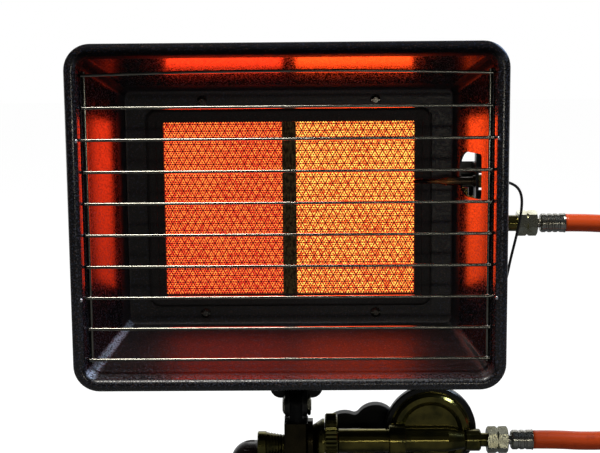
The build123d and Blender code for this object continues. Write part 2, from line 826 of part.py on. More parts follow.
def safety_button():
    """Domed cap on a stem; its skirt hides the spring."""
    top = button_under_z + button_h
    r = button_d / 2
    skirt_z = valve_top_z + bonnet_h + button_travel + seat_gap
    profile = [
        (skirt_z, r - button_wall), (skirt_z, r), (top - 3.0, r), (top - 1.2, r - 0.8),
        (top - 0.3, r - 2.6), (top, r - 5.0), (top, 0), (button_under_z, 0),
        (button_under_z, r - button_wall),
    ]
    cap = turned(along_z(valve_x, gas_y, 0), profile)
    stem_z = valve_top_z + button_travel + seat_gap
    return cap + rod(along_z(valve_x, gas_y, stem_z), button_stem_d, button_under_z - stem_z + 1)


def button_spring():
    foot = valve_top_z + bonnet_h
    length = button_under_z - foot
    mean = button_spring_d - button_spring_wire
    return coil_spring(
        along_z(valve_x, gas_y, foot), mean, button_spring_wire, length, button_spring_turns
    )


def magnet_unit():
    """Hexagon and can of the magnet that holds the valve open."""
    nut_z = valve_bottom_z - magnet_nut_h
    nut = hex_nut(along_z(valve_x, gas_y, nut_z), magnet_nut_af, magnet_nut_h, 0)
    can = rod(along_z(valve_x, gas_y, magnet_bottom_z), magnet_can_d, magnet_can_h)
    can = chamfer(can.edges().group_by(Axis.Z)[0], magnet_can_edge)
    return nut + can


def thermocouple_nut():
    body = hex_nut(along_z(valve_x, gas_y, tc_nut_bottom_z), tc_nut_af, tc_nut_h, 0)
    return body - rod(along_z(valve_x, gas_y, tc_nut_bottom_z), lead_d + 2 * fit_gap, lead_socket)


def probe_bracket():
    """Bent bracket behind the window: a strip on the back plate and the probe's upright arm."""
    foot_x0 = bracket_web_x - bracket_foot_l
    arm_end = arm_x + bracket_t
    rear = bracket_foot_y + bracket_t
    strip_z = probe_z + (strip_high - strip_low) / 2
    foot = slab(
        Rectangle(arm_end - foot_x0, strip_high + strip_low), bracket_foot_y, rear,
        (arm_end + foot_x0) / 2, strip_z,
    )
    wide_z = probe_z + (strip_high - arm_low) / 2
    foot += slab(
        Rectangle(strip_widening, strip_high + arm_low), bracket_foot_y, rear,
        arm_end - strip_widening / 2, wide_z,
    )
    front = probe_y - arm_d / 2
    web = Rectangle(rear - front, strip_high + arm_low)
    arm = side_plate(web, arm_x, arm_end, (front + rear) / 2, wide_z)
    upright = Rectangle(arm_d, arm_high + arm_low)
    upright = fillet(upright.vertices(), arm_corner_r)
    arm += side_plate(upright, arm_x, arm_end, probe_y, probe_z + (arm_high - arm_low) / 2)
    for low, high in ((-arm_low, -arm_lip_gap), (arm_lip_gap, arm_high - arm_corner_r)):
        lip = Rectangle(arm_lip_w, high - low)
        arm += slab(lip, front, front + bracket_t, arm_x + arm_lip_w / 2, probe_z + (low + high) / 2)
    hole = rod(along_x(arm_x - 1, probe_y, probe_z), probe_d + 2 * fit_gap, bracket_t + 2)
    return foot + arm - hole


def thermocouple():
    """Probe: tapered tip, sleeve, collar and threaded tail."""
    r = probe_d / 2
    tip_r = probe_tip_d / 2
    profile = [
        (probe_tip_x, 0), (probe_tip_x, tip_r / 2), (probe_tip_x + probe_tip_edge, tip_r),
        (probe_sleeve_x - probe_taper_l, tip_r), (probe_sleeve_x, r), (arm_x - probe_collar_l, r),
        (arm_x - probe_collar_l, probe_collar_d / 2), (arm_x, probe_collar_d / 2), (arm_x, r),
        (probe_end_x - probe_tail_l, r), (probe_end_x, 0.8 * lead_d), (probe_end_x, 0),
    ]
    return turned(along_x(0, probe_y, probe_z), profile)


def probe_nut():
    x0 = arm_x + bracket_t
    return hex_nut(along_x(x0, probe_y, probe_z), probe_nut_af, probe_nut_h, probe_d + fit_gap)


def inlet_nipple():
    """Hexagon against the valve and the plain barrel that the hose nut runs on."""
    x0 = valve_x + valve_d / 2 + valve_boss_out
    hex_part = hex_nut(along_x(x0, gas_y, gas_z), nipple_af, nipple_hex_l, 0, 15)
    barrel_l = upper_nut_x + nipple_in_nut - x0 - nipple_hex_l
    barrel = rod(along_x(x0 + nipple_hex_l, gas_y, gas_z), nipple_d, barrel_l)
    return hex_part + barrel - rod(along_x(x0, gas_y, gas_z), tail_bore_d, nipple_hex_l + barrel_l)


def hose_nut(x, y, z, turn):
    """Union nut of a hose end, closed on the tail's shoulder; its notched corners mark a left-hand thread."""
    body = hex_nut(along_x(x, y, z), hose_nut_af, hose_nut_l, neck_d + 2 * fit_gap, turn)
    body -= rod(along_x(x, y, z), nipple_d + 2 * fit_gap, hose_nut_l - hose_nut_web)
    flat_r = hose_nut_af / 2
    middle = hose_nut_l / 2
    half = hose_nut_notch / 2
    notch = turned(
        along_x(x, y, z),
        [(middle - half, flat_r + half), (middle, flat_r), (middle + half, flat_r + half),
         (middle + half, 2 * flat_r), (middle - half, 2 * flat_r)],
    )
    return body - notch


def hose_tail(x, y, z, ferrule_l, grooves):
    """Nozzle with its shoulder inside the nut, neck and the crimped ferrule round the hose."""
    shoulder_x = x + nipple_in_nut + fit_gap
    inner_end = x + hose_nut_l - hose_nut_web
    shoulder = rod(along_x(shoulder_x, y, z), nipple_d - 2 * shoulder_clear, inner_end - fit_gap - shoulder_x)
    neck_end = x + hose_nut_l + neck_l
    neck = rod(along_x(inner_end - fit_gap, y, z), neck_d, neck_end - inner_end + fit_gap + 1)
    r = ferrule_d / 2
    g = ferrule_groove
    pitch = ferrule_groove_pitch
    first = (ferrule_l - grooves * pitch) / 2 + pitch / 4
    crimp = []
    for k in range(grooves):
        start = first + pitch * k
        crimp += [(start, r), (start + g, r - g), (start + pitch / 2 - g, r - g), (start + pitch / 2, r)]
    profile = [(0, 0), (0, r - ferrule_edge), (ferrule_edge, r)] + crimp
    profile += [(ferrule_l - ferrule_edge, r), (ferrule_l, r + ferrule_flare), (ferrule_l, 0)]
    ferrule = turned(along_x(neck_end, y, z), profile)
    body = shoulder + neck + ferrule
    return body - rod(along_x(shoulder_x, y, z), tail_bore_d, neck_end + ferrule_l / 2 - shoulder_x)


# ---- Tilt joint ---------------------------------------------------------------------


def tilt_bracket():
    """Plate behind the head with two ears bent forward round the post's tongue."""
    y0 = tilt_plate_y
    y1 = y0 + tilt_plate_t
    z_mid = (tilt_plate_top + tilt_plate_bottom) / 2
    plate = RectangleRounded(tilt_plate_w, tilt_plate_top - tilt_plate_bottom, tilt_plate_corner_r)
    body = slab(plate, y0, y1, 0, z_mid)
    for x in (-tilt_screw_spread / 2, tilt_screw_spread / 2):
        body -= slab(Circle(screw_d / 2 + fit_gap), y0 - 1, y1 + 1, x, tilt_screw_z)
    foot = ear_foot - pivot_z
    into_plate = y0 + tilt_plate_t / 4
    front_turn = radians(125)
    ear = Circle(ear_r) + make_face(
        Polyline(
            (0, foot), (into_plate, foot), (into_plate, ear_top - pivot_z),
            (ear_r * cos(front_turn), ear_r * sin(front_turn)), close=True,
        )
    )
    ear -= Circle(pivot_d / 2 + running)
    for side in (-1, 1):
        x0 = ear_in_x if side > 0 else -ear_out_x
        body += side_plate(ear, x0, x0 + ear_t, 0, pivot_z)
    return body


def tilt_bracket_screws():
    """Two screws welded to the rear of the burner box's flange, with their nuts."""
    parts = []
    rear = tilt_plate_y + tilt_plate_t
    for x in (-tilt_screw_spread / 2, tilt_screw_spread / 2):
        length = tilt_plate_t + screw_nut_h + screw_thread_out
        parts.append(rod(along_y(x, tilt_plate_y, tilt_screw_z), screw_d, length))
        nut = hex_nut(along_y(x, rear, tilt_screw_z), screw_nut_af, screw_nut_h, screw_d + fit_gap)
        parts.append(nut)
    return parts


def pivot_bolt():
    """Low-head bolt through both ears and the tongue."""
    end = ear_out_x + pivot_nut_h + 0.4
    plane = along_x(-ear_out_x - bolt_head_h, 0, pivot_z)
    profile = [
        (0, 0), (0, bolt_head_d / 2 - 2.6), (bolt_head_h * 0.45, bolt_head_d / 2 - 0.8),
        (bolt_head_h, bolt_head_d / 2), (bolt_head_h, pivot_d / 2),
        (bolt_head_h + ear_out_x + end, pivot_d / 2), (bolt_head_h + ear_out_x + end, 0),
    ]
    return turned(plane, profile)


def pivot_nut():
    return hex_nut(along_x(ear_out_x, 0, pivot_z), pivot_nut_af, pivot_nut_h, pivot_d + fit_gap, 10)


def pivot_washers():
    """Friction washers between the ears and the tongue."""
    parts = []
    for side in (-1, 1):
        x0 = ear_in_x - pivot_washer_t if side > 0 else -ear_in_x
        plane = along_x(x0, 0, pivot_z)
        parts.append(tube(plane, 2 * ear_r - 0.6, pivot_d + 2 * running, pivot_washer_t))
    return parts


def stand_post():
    """Round post whose top is milled to a tongue for the pivot."""
    shoulder = pivot_z - ear_r - seat_gap
    post = rod(along_z(0, 0, block_top), post_d, pivot_z - block_top)
    cap = side_plate(Circle(post_d / 2), -post_d / 2, post_d / 2, 0, pivot_z)
    cap = cap & rod(along_z(0, 0, pivot_z - post_d), post_d, 2 * post_d)
    post += cap
    for side in (-1, 1):
        x_mid = side * (tongue_t / 2 + post_d / 2)
        post -= Pos(x_mid, 0, shoulder + post_d) * Box(post_d, 2 * post_d, 2 * post_d)
    post -= rod(along_x(-post_d, 0, pivot_z), pivot_d + 2 * running, 2 * post_d)
    return post + rod(along_z(0, 0, block_top - post_stub_l), post_stub_d, post_stub_l)


# ---- Manifold, relief valve and tap -------------------------------------------------


def manifold():
    """Block with the gas ways: stem below, outlet right, relief valve left, tap behind."""
    column = Rectangle(block_front + block_back, block_rear_top - block_bottom)
    body = side_plate(
        column, -block_half, block_half, (block_back - block_front) / 2,
        (block_rear_top + block_bottom) / 2,
    )
    neck = Rectangle(block_front + neck_back, block_top - block_bottom)
    body += side_plate(
        neck, -block_half, block_half, (neck_back - block_front) / 2, (block_top + block_bottom) / 2
    )
    body = chamfer(body.edges().filter_by(Axis.Z), block_chamfer)
    body += rod(along_x(block_half, 0, line_z), boss_flange_d, boss_flange_t)
    top_cut = Pos(0, 0, block_top + boss_flange_d / 2) * Box(
        2 * block_half + 2 * boss_flange_t + 2, 2 * boss_flange_d, boss_flange_d
    )
    body -= top_cut & rod(along_z(0, 0, block_top), 2 * boss_flange_d, 2)
    body -= rod(along_z(0, 0, block_top - post_stub_l - fit_gap), post_stub_d + 2 * fit_gap, post_stub_l + 1)
    body -= rod(along_z(0, 0, block_bottom), gas_bore_d, line_z - block_bottom)
    body -= rod(along_x(0, 0, line_z), gas_bore_d, cone_x + 1)
    body -= rod(along_x(outlet_thread_x, 0, line_z), outlet_thread_d + 2 * fit_gap, cone_x)
    body -= rod(along_z(0, 0, block_bottom), 2 * (stem_spigot_r + fit_gap), stem_spigot_l + fit_gap)
    relief_socket = rod(along_x(-block_half, 0, relief_z), relief_spigot_d + 2 * fit_gap, relief_spigot_l)
    body -= relief_socket
    gland_socket = rod(along_x(-block_half, tap_y, tap_z), gland_spigot_d + 2 * fit_gap, gland_spigot_l)
    body -= gland_socket
    body -= rod(along_y(0, 0, tap_z), tap_way_d, tap_y)
    body -= rod(along_x(-block_half + gland_spigot_l - 1, tap_y, tap_z), tap_way_d, block_half)
    return body


def relief_valve():
    """Flared brass body of the pressure relief valve."""
    plane = Plane(origin=(-block_half, 0, relief_z), x_dir=(0, 1, 0), z_dir=(-1, 0, 0))
    small = relief_small_d / 2
    big = relief_big_d / 2
    spigot = relief_spigot_d / 2
    profile = [(-relief_spigot_l, 0), (-relief_spigot_l, spigot), (0, spigot), (0, small)]
    pitch = relief_l / (relief_rings + 1)
    for k in range(relief_rings):
        at = pitch * (k + 0.5)
        r = small + (big - small) * at / relief_l
        profile += [(at, r), (at + 0.3 * pitch, r - relief_ring_depth), (at + 0.6 * pitch, r)]
    profile += [(relief_l, big), (relief_l, 0)]
    return turned(plane, profile)


def relief_cap():
    """Screwed cap of the relief valve, with vent holes in its face."""
    x0 = -block_half - relief_l - relief_cap_l
    cap = rod(along_x(x0, 0, relief_z), relief_cap_d, relief_cap_l)
    cap = chamfer(cap.edges().filter_by(GeomType.CIRCLE), relief_cap_edge)
    for k in range(relief_vents):
        turn = 2 * pi * (k + 0.5) / relief_vents
        y = relief_vent_at * cos(turn)
        z = relief_z + relief_vent_at * sin(turn)
        cap -= rod(along_x(x0, y, z), relief_vent_d, relief_vent_depth)
    return cap


def tap_gland():
    """Gland of the tap: spigot in the block, hexagon and the stem's neck."""
    plane = Plane(origin=(-block_half, tap_y, tap_z), x_dir=(0, 1, 0), z_dir=(-1, 0, 0))
    body = turned(
        plane,
        [(-gland_spigot_l, 0), (-gland_spigot_l, gland_spigot_d / 2), (0, gland_spigot_d / 2),
         (0, gland_d / 2), (gland_l, gland_d / 2), (gland_l, 0)],
    )
    body += hex_nut(
        Plane(origin=(-block_half - gland_hex_in, tap_y, tap_z), x_dir=(0, 1, 0), z_dir=(-1, 0, 0)),
        gland_d + 2, gland_hex_l, 0,
    )
    bore_x = -block_half - gland_l
    return body - rod(along_x(bore_x, tap_y, tap_z), tap_spindle_d + 2 * running, gland_l)


def tap_spindle():
    inner_x = -block_half - 0.5
    outer_x = tap_knob_x - tap_knob_l * 0.55
    return rod(along_x(outer_x, tap_y, tap_z), tap_spindle_d, inner_x - outer_x)


def tap_knob():
    """Domed grip with flutes round its side."""
    r = tap_knob_d / 2
    dome = revolve(
        Plane.XZ
        * make_face(
            [
                Line((0, 0), (r - 1, 0)),
                Line((r - 1, 0), (r, 1)),
                Line((r, 1), (r, tap_knob_l - r)),
                CenterArc((0, tap_knob_l - r), r, 0, 90),
                Line((0, tap_knob_l), (0, 0)),
            ]
        ),
        Axis.Z,
    )
    for k in range(tap_knob_flutes):
        turn = 2 * pi * (k + 0.5) / tap_knob_flutes
        at = r + tap_flute_d * 0.22
        dome -= Pos(at * cos(turn), at * sin(turn), 2.5) * Cylinder(
            tap_flute_d / 2, tap_knob_l, align=(Align.CENTER, Align.CENTER, Align.MIN)
        )
    place = Plane(origin=(tap_knob_x, tap_y, tap_z), x_dir=(0, 1, 0), z_dir=(-1, 0, 0))
    bore_l = tap_knob_l * 0.55 + fit_gap
    bore = rod(along_x(tap_knob_x - bore_l, tap_y, tap_z), tap_spindle_d + 0.04, bore_l + 1)
    return place * dome - bore


def outlet_nipple():
    """Flared nipple screwed in the block; its spigot carries the knurled union nut."""
    small = outlet_cone_small_d / 2
    big = outlet_cone_big_d / 2
    spigot = outlet_spigot_d / 2
    profile = [
        (outlet_thread_x + fit_gap, 0), (outlet_thread_x + fit_gap, outlet_thread_d / 2),
        (cone_x, outlet_thread_d / 2), (cone_x, small),
        (spigot_x - 1.6, big), (spigot_x, big), (spigot_x, spigot),
        (spigot_x + outlet_spigot_l, spigot), (spigot_x + outlet_spigot_l, 0),
    ]
    body = turned(along_x(0, 0, line_z), profile)
    return body - rod(along_x(0, 0, line_z), gas_bore_d, spigot_x + outlet_spigot_l + 1)


def union_nut():
    """Large knurled hand nut that draws the regulator on to the nipple."""
    ring = extrude(along_x(union_x, 0, line_z) * knurled_disc(union_d, union_knurls, knurl_depth), amount=union_l)
    r = union_d / 2
    c = 1.2
    trim = turned(
        along_x(union_x, 0, line_z),
        [(0, 0), (0, r - c), (c, r + 0.1), (union_l - c, r + 0.1), (union_l, r - c), (union_l, 0)],
    )
    ring = ring & trim
    ring -= rod(along_x(union_x, 0, line_z), outlet_spigot_d + 2 * running, union_l - union_web_l)
    return ring - rod(along_x(union_x, 0, line_z), union_neck_d + 2 * running, union_l)


# ---- Regulator ----------------------------------------------------------------------


def regulator_body():
    """Casting: inlet barrel, stepped dish, cross bar, shut-off boss and outlet neck."""
    collar_start = spigot_x + outlet_spigot_l + fit_gap
    web_x = union_x + union_l - union_web_l
    profile = [
        (collar_start, 0), (collar_start, union_collar_d / 2), (web_x - fit_gap, union_collar_d / 2),
        (web_x - fit_gap, union_neck_d / 2), (barrel_x, union_neck_d / 2), (barrel_x, barrel_d / 2 - 0.8),
        (barrel_x + 0.8, barrel_d / 2), (barrel_end_x, barrel_d / 2), (barrel_end_x + 1.5, bar_d / 2),
        (collar_x0, bar_d / 2), (collar_x0, collar_d / 2 - 0.6), (collar_x0 + 0.6, collar_d / 2),
        (collar_x1 - 0.6, collar_d / 2), (collar_x1, collar_d / 2 - 0.6), (collar_x1, bar_d / 2),
        (bar_taper_x, bar_d / 2), (bar_waist_x, bar_waist_d / 2), (bar_waist_x + 0.5, bar_boss_d / 2),
        (bar_end_x - 1, bar_boss_d / 2), (bar_end_x, bar_boss_d / 2 - 1), (bar_end_x, reg_neck_d / 2),
        (lower_nut_x, reg_neck_d / 2), (lower_nut_x, nipple_d / 2),
        (lower_nut_x + nipple_in_nut, nipple_d / 2), (lower_nut_x + nipple_in_nut, 0),
    ]
    body = turned(along_x(0, 0, line_z), profile)
    rebate = tube(
        along_y(reg_x, reg_flange_y - reg_lip_t - fit_gap, reg_z),
        reg_disc_d + 4 * fit_gap,
        reg_disc_d - 2 * reg_lip_w - 2 * fit_gap,
        reg_disc_d / 2,
    )
    body -= rebate
    dish = turned(
        along_y(reg_x, 0, reg_z),
        [
            (reg_dish_front, 0), (reg_dish_front, reg_boss_r),
            (reg_dish_front - reg_groove_depth, reg_groove_r),
            (reg_dish_front - reg_groove_depth, reg_dish_d / 2 - 2), (reg_dish_front, reg_dish_d / 2 - 0.5),
            (reg_dish_front + 2, reg_dish_d / 2), (reg_flange_y, reg_dish_d / 2),
            (reg_flange_y, reg_disc_d / 2 - reg_lip_t - fit_gap),
            (reg_flange_y + reg_flange_t, reg_disc_d / 2 - reg_lip_t - fit_gap),
            (reg_flange_y + reg_flange_t, reg_web_r), (reg_dish_front + reg_wall, reg_boss_r),
            (reg_dish_front + reg_wall, 0),
        ],
    )
    body += dish
    boss = rod(along_y(shutoff_x, 0, shutoff_z), shutoff_boss_d, shutoff_boss_y)
    body += boss
    body -= rod(along_x(collar_start - 1, 0, line_z), gas_bore_d, shutoff_x - collar_start + 4)
    body -= rod(along_x(reg_x + 12, 0, line_z), 5.0, lower_nut_x + 8 - reg_x - 12)
    return body - rod(along_y(shutoff_x, shutoff_boss_y - 6, shutoff_z), 9 + 2 * fit_gap, 7)


def regulator_diaphragm():
    """Rubber diaphragm with its stiffening plate, clamped between body and bonnet."""
    y0 = reg_flange_y + reg_flange_t
    sheet_part = rod(along_y(reg_x, y0, reg_z), reg_disc_d - 2 * reg_lip_t - 2 * fit_gap, diaphragm_t)
    return sheet_part + rod(along_y(reg_x, y0 + diaphragm_t, reg_z), diaphragm_plate_d, 1.2)


def regulator_bonnet():
    """Pressed bonnet whose edge is crimped forward over the body's flange."""
    r = reg_disc_d / 2
    case_r = spring_case_d / 2
    wall = spring_case_wall
    seat_y = reg_flange_y + reg_flange_t + diaphragm_t
    lip_y = reg_flange_y - reg_lip_t
    profile = [
        (lip_y, r - reg_lip_w), (lip_y, r - 1.0), (lip_y + 1.0, r), (seat_y + wall - 1.0, r),
        (seat_y + wall, r - 1.0), (seat_y + wall, r - 5), (case_shoulder_y, case_r),
        (spring_case_end_y, case_r), (spring_case_end_y, case_r - wall),
        (case_shoulder_y - 1.0, case_r - wall), (seat_y, r - 6), (seat_y, r - reg_lip_t),
        (lip_y + reg_lip_t, r - reg_lip_t), (lip_y + reg_lip_t, r - reg_lip_w),
    ]
    return turned(along_y(reg_x, 0, reg_z), profile)


def regulator_spring():
    foot = reg_flange_y + reg_flange_t + diaphragm_t + 1.2
    end = spring_case_end_y - 4.0
    mean = reg_spring_d - reg_spring_wire
    return coil_spring(along_y(reg_x, foot, reg_z), mean, reg_spring_wire, end - foot, reg_spring_turns)


def regulator_cap():
    """Screwed plug that closes the spring case, with a hexagon for a key."""
    r = spring_case_d / 2 - spring_case_wall - fit_gap
    y = spring_case_end_y
    plug = rod(along_y(reg_x, y - 4, reg_z), 2 * r, 4)
    lid = rod(along_y(reg_x, y, reg_z), spring_case_d, reg_cap_h)
    lid = chamfer(lid.faces().sort_by(Axis.Y)[-1].edges(), 1.5)
    key = hexagon(along_y(reg_x, y + reg_cap_h - 4, reg_z), 14, 5)
    return plug + lid - key


def shutoff_gland():
    body = hex_nut(
        along_y(shutoff_x, shutoff_boss_y, shutoff_z), shutoff_gland_af, shutoff_gland_l, 0
    )
    body += rod(along_y(shutoff_x, shutoff_boss_y - 5.5, shutoff_z), 9, 5.5)
    return body - rod(
        along_y(shutoff_x, shutoff_boss_y - 5.5, shutoff_z),
        shutoff_spindle_d + 2 * running, shutoff_gland_l + 6,
    )


def shutoff_spindle():
    y0 = shutoff_boss_y - 5.0
    return rod(along_y(shutoff_x, y0, shutoff_z), shutoff_spindle_d, knob_back_y - 2.5 - y0)


def shutoff_knob():
    """Three-lobed moulded knob, hollow at the front round its hub."""
    outline = Circle(knob_lobe_at)
    for k in range(3):
        turn = radians(180 - knob_lobe_turn - 120 * k)
        outline += Pos(knob_lobe_at * cos(turn), knob_lobe_at * sin(turn)) * Circle(knob_lobe_r)
    cusps = [v for v in outline.vertices() if hypot(v.X, v.Y) < knob_lobe_at + knob_lobe_r * 0.9]
    outline = fillet(cusps, knob_cusp_r)
    body = extrude(outline, amount=knob_t)
    body = fillet(body.faces().sort_by(Axis.Z)[-1].edges(), knob_edge_r)
    body = fillet(body.faces().sort_by(Axis.Z)[0].edges(), 1.0)
    hollow = offset(outline, amount=-2.6)
    body -= extrude(hollow - Circle(7), amount=knob_t * 0.55)
    plane = along_y(shutoff_x, knob_front_y, shutoff_z)
    bore = rod(along_y(shutoff_x, knob_front_y - 1, shutoff_z), shutoff_spindle_d + 0.04, knob_t - 1.4)
    return plane * body - bore


# ---- Cylinder connection ------------------------------------------------------------


def cylinder_nipple():
    """Stem screwed in the block, with the collar that the hand nut pulls down."""
    collar_top = thread_l + nut_chamber_l - seat_gap
    collar_z = collar_top - stem_collar_t
    profile = [
        (collar_z, 0), (collar_z, stem_collar_r), (collar_top, stem_collar_r),
        (collar_top, stem_r), (stem_top_z, stem_r), (stem_top_z, stem_spigot_r),
        (stem_top_z + stem_spigot_l, stem_spigot_r), (stem_top_z + stem_spigot_l, 0),
    ]
    bore_l = stem_top_z + stem_spigot_l - collar_z
    return turned(along_z(0, 0, 0), profile) - rod(along_z(0, 0, collar_z), gas_bore_d, bore_l)


def cylinder_seal():
    collar_z = thread_l + nut_chamber_l - seat_gap - stem_collar_t
    return tube(along_z(0, 0, collar_z - seal_t), 2 * stem_collar_r - 0.8, gas_bore_d, seal_t)


def hand_nut():
    """Knurled hand nut with the cylinder valve's thread below and a neck round the stem."""
    body = extrude(knurled_disc(hand_nut_d, hand_nut_knurls, knurl_depth), amount=hand_nut_h)
    r = hand_nut_d / 2
    c = 1.5
    trim = turned(
        along_z(0, 0, 0),
        [(0, 0), (0, r - c), (c, r + 0.1), (hand_nut_h - 6, r + 0.1), (hand_nut_h - 4.5, r - 2.5),
         (hand_nut_h, r - 5.5), (hand_nut_h, 0)],
    )
    body = body & trim
    body -= rod(along_z(0, 0, -1), 2 * thread_r, thread_l + 1)
    body -= rod(along_z(0, 0, thread_l), 2 * nut_chamber_r, nut_chamber_l)
    return body - rod(along_z(0, 0, thread_l), 2 * nut_neck_r, hand_nut_h)


# ---- Hose and thermocouple lead -----------------------------------------------------

hose_route = [
    (upper_hose_x, gas_y, gas_z),
    (222.0, gas_y, gas_z),
    (245.5, 61.8, 208.8),
    (271.5, 60.0, 201.0),
    (295.5, 54.5, 186.5),
    (312.0, 45.5, 165.5),
    (319.0, 36.0, 140.0),
    (315.5, 26.0, 114.0),
    (302.5, 17.0, 91.5),
    (281.5, 9.0, 75.0),
    (256.0, 3.5, 64.5),
    (229.0, 0.8, 60.0),
    (205.5, 0.0, 60.0),
    (189.0, 0.0, line_z),
    (lower_hose_x, 0.0, line_z),
]

lead_route = [
    (probe_end_x, probe_y, probe_z),
    (150.5, probe_y, probe_z),
    (157.0, 3.5, 248.9),
    (162.5, 10.0, 245.0),
    (166.3, 18.0, 238.0),
    (167.5, 25.5, 228.0),
    (166.5, 31.0, 216.0),
    (163.5, 34.0, 202.5),
    (159.8, 36.3, 188.5),
    (157.0, 40.0, 174.5),
    (155.0, 46.0, 161.5),
    (153.2, 52.5, 149.5),
    (151.8, 57.0, 140.5),
    (151.0, 59.5, 131.5),
    (147.8, 61.0, 125.8),
    (141.8, 61.6, 122.3),
    (135.3, 62.0, 122.8),
    (130.3, 62.6, 126.8),
    (127.0, 62.7, 133.0),
    (126.3, 62.0, 144.0),
    (valve_x, gas_y, 153.0),
    (valve_x, gas_y, tc_nut_bottom_z + lead_socket),
]


def bend_radii(route):
    """Each corner's radius: 0.45 of its shorter run over the tangent of half its turn."""
    radii = []
    for before, corner, after in zip(route, route[1:], route[2:]):
        run_in = Vector(corner) - Vector(before)
        run_out = Vector(after) - Vector(corner)
        half_turn = radians(run_in.get_angle(run_out)) / 2
        radii.append(0.45 * min(run_in.length, run_out.length) / tan(half_turn))
    return radii


def cord(route, diameter, bore, name):
    """Round cord along straight runs joined by tangent arcs."""
    radii = bend_radii(route)
    path = FilletPolyline(*route, radius=radii)
    plane = Plane(origin=path @ 0, z_dir=path % 0)
    section = Circle(diameter / 2)
    if bore:
        section -= Circle(bore / 2)
    solid = sweep(plane * section, path=path)
    area = pi / 4 * (diameter**2 - bore**2)
    print(name, "length", round(path.length, 1), "volume ratio", round(solid.volume / area / path.length, 4))
    print(name, "radii", [round(r, 1) for r in radii])
    return solid


# ---- Assembly -----------------------------------------------------------------------


def build_nodes():
    return {
        "reflector": reflector(),
        "guard": guard(),
        "burner_frame": burner_frame(),
        "tile_left": tile(-1),
        "tile_right": tile(1),
        "centre_strip": centre_strip(),
        "tile_gasket": tile_gasket(),
        "plenum": plenum(),
        "plenum_baffle": plenum_baffle(),
        "mixing_tube": mixing_tube(),
        "burner_screws": burner_screws(),
        "valve_bracket": valve_bracket(),
        "safety_valve": safety_valve(),
        "jet_holder": jet_holder(),
        "jet": jet(),
        "valve_bonnet": valve_bonnet(),
        "safety_button": safety_button(),
        "button_spring": button_spring(),
        "magnet_unit": magnet_unit(),
        "thermocouple_nut": thermocouple_nut(),
        "probe_bracket": probe_bracket(),
        "thermocouple": thermocouple(),
        "probe_nut": probe_nut(),
        "thermocouple_lead": cord(lead_route, lead_d, 0, "thermocouple lead"),
        "inlet_nipple": inlet_nipple(),
        "upper_hose_nut": hose_nut(upper_nut_x, gas_y, gas_z, 12),
        "upper_hose_tail": hose_tail(upper_nut_x, gas_y, gas_z, upper_ferrule_l, 3),
        "tilt_bracket": tilt_bracket(),
        "tilt_bracket_screws": tilt_bracket_screws(),
        "pivot_bolt": pivot_bolt(),
        "pivot_nut": pivot_nut(),
        "pivot_washers": pivot_washers(),
        "stand_post": stand_post(),
        "manifold": manifold(),
        "relief_valve": relief_valve(),
        "relief_cap": relief_cap(),
        "tap_gland": tap_gland(),
        "tap_spindle": tap_spindle(),
        "tap_knob": tap_knob(),
        "outlet_nipple": outlet_nipple(),
        "union_nut": union_nut(),
        "regulator_body": regulator_body(),
        "regulator_diaphragm": regulator_diaphragm(),
        "regulator_bonnet": regulator_bonnet(),
        "regulator_spring": regulator_spring(),
        "regulator_cap": regulator_cap(),
        "shutoff_gland": shutoff_gland(),
        "shutoff_spindle": shutoff_spindle(),
        "shutoff_knob": shutoff_knob(),
        "lower_hose_nut": hose_nut(lower_nut_x, 0, line_z, 20),
        "lower_hose_tail": hose_tail(lower_nut_x, 0, line_z, lower_ferrule_l, 2),
        "gas_hose": cord(hose_route, hose_d, 0, "gas hose"),
        "cylinder_nipple": cylinder_nipple(),
        "cylinder_seal": cylinder_seal(),
        "hand_nut": hand_nut(),
    }


def main():
    os.makedirs("parts", exist_ok=True)
    for name, shape in build_nodes().items():
        if isinstance(shape, list):
            shape = Compound(children=[solid for piece in shape for solid in piece.solids()])
        export_step(shape, f"parts/{name}.step")


main()
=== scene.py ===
from math import cos, pi, radians, sin, sqrt

import bmesh
import bpy
from mathutils import Matrix, Vector

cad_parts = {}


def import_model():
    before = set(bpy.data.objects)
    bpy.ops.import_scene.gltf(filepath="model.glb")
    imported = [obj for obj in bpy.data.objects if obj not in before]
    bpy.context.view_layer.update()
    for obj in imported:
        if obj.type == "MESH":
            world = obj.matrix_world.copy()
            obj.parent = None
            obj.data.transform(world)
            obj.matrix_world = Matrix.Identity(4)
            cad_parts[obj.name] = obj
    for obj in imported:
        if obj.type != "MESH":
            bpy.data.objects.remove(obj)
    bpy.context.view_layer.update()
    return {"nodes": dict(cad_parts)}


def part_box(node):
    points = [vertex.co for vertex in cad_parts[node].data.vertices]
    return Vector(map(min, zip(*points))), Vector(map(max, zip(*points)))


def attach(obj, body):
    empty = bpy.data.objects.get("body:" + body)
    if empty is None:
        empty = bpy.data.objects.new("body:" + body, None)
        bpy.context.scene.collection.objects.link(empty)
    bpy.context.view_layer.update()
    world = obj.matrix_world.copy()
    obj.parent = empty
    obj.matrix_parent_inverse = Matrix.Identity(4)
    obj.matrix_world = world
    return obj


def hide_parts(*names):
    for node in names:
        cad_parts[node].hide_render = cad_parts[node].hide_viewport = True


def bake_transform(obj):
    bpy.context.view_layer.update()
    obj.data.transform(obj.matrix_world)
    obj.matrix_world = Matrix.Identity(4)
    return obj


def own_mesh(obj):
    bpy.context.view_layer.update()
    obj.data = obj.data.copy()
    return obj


# Portable propane heater, dressed for rendering. Metres, +Z up, the front faces -Y.

MM = 0.001

# ---- Camera -------------------------------------------------------------------------

IMAGE_WIDTH_PX = 600
FOCAL_PX = 1322.9
SENSOR_WIDTH = 36.0
CAMERA_AT = (16.1 * MM, -929.5 * MM, 355.2 * MM)
CAMERA_YAW = radians(0.75)
CAMERA_PITCH = radians(-8.36)
CAMERA_ROLL = radians(0.50)
CLIP_END = 50.0

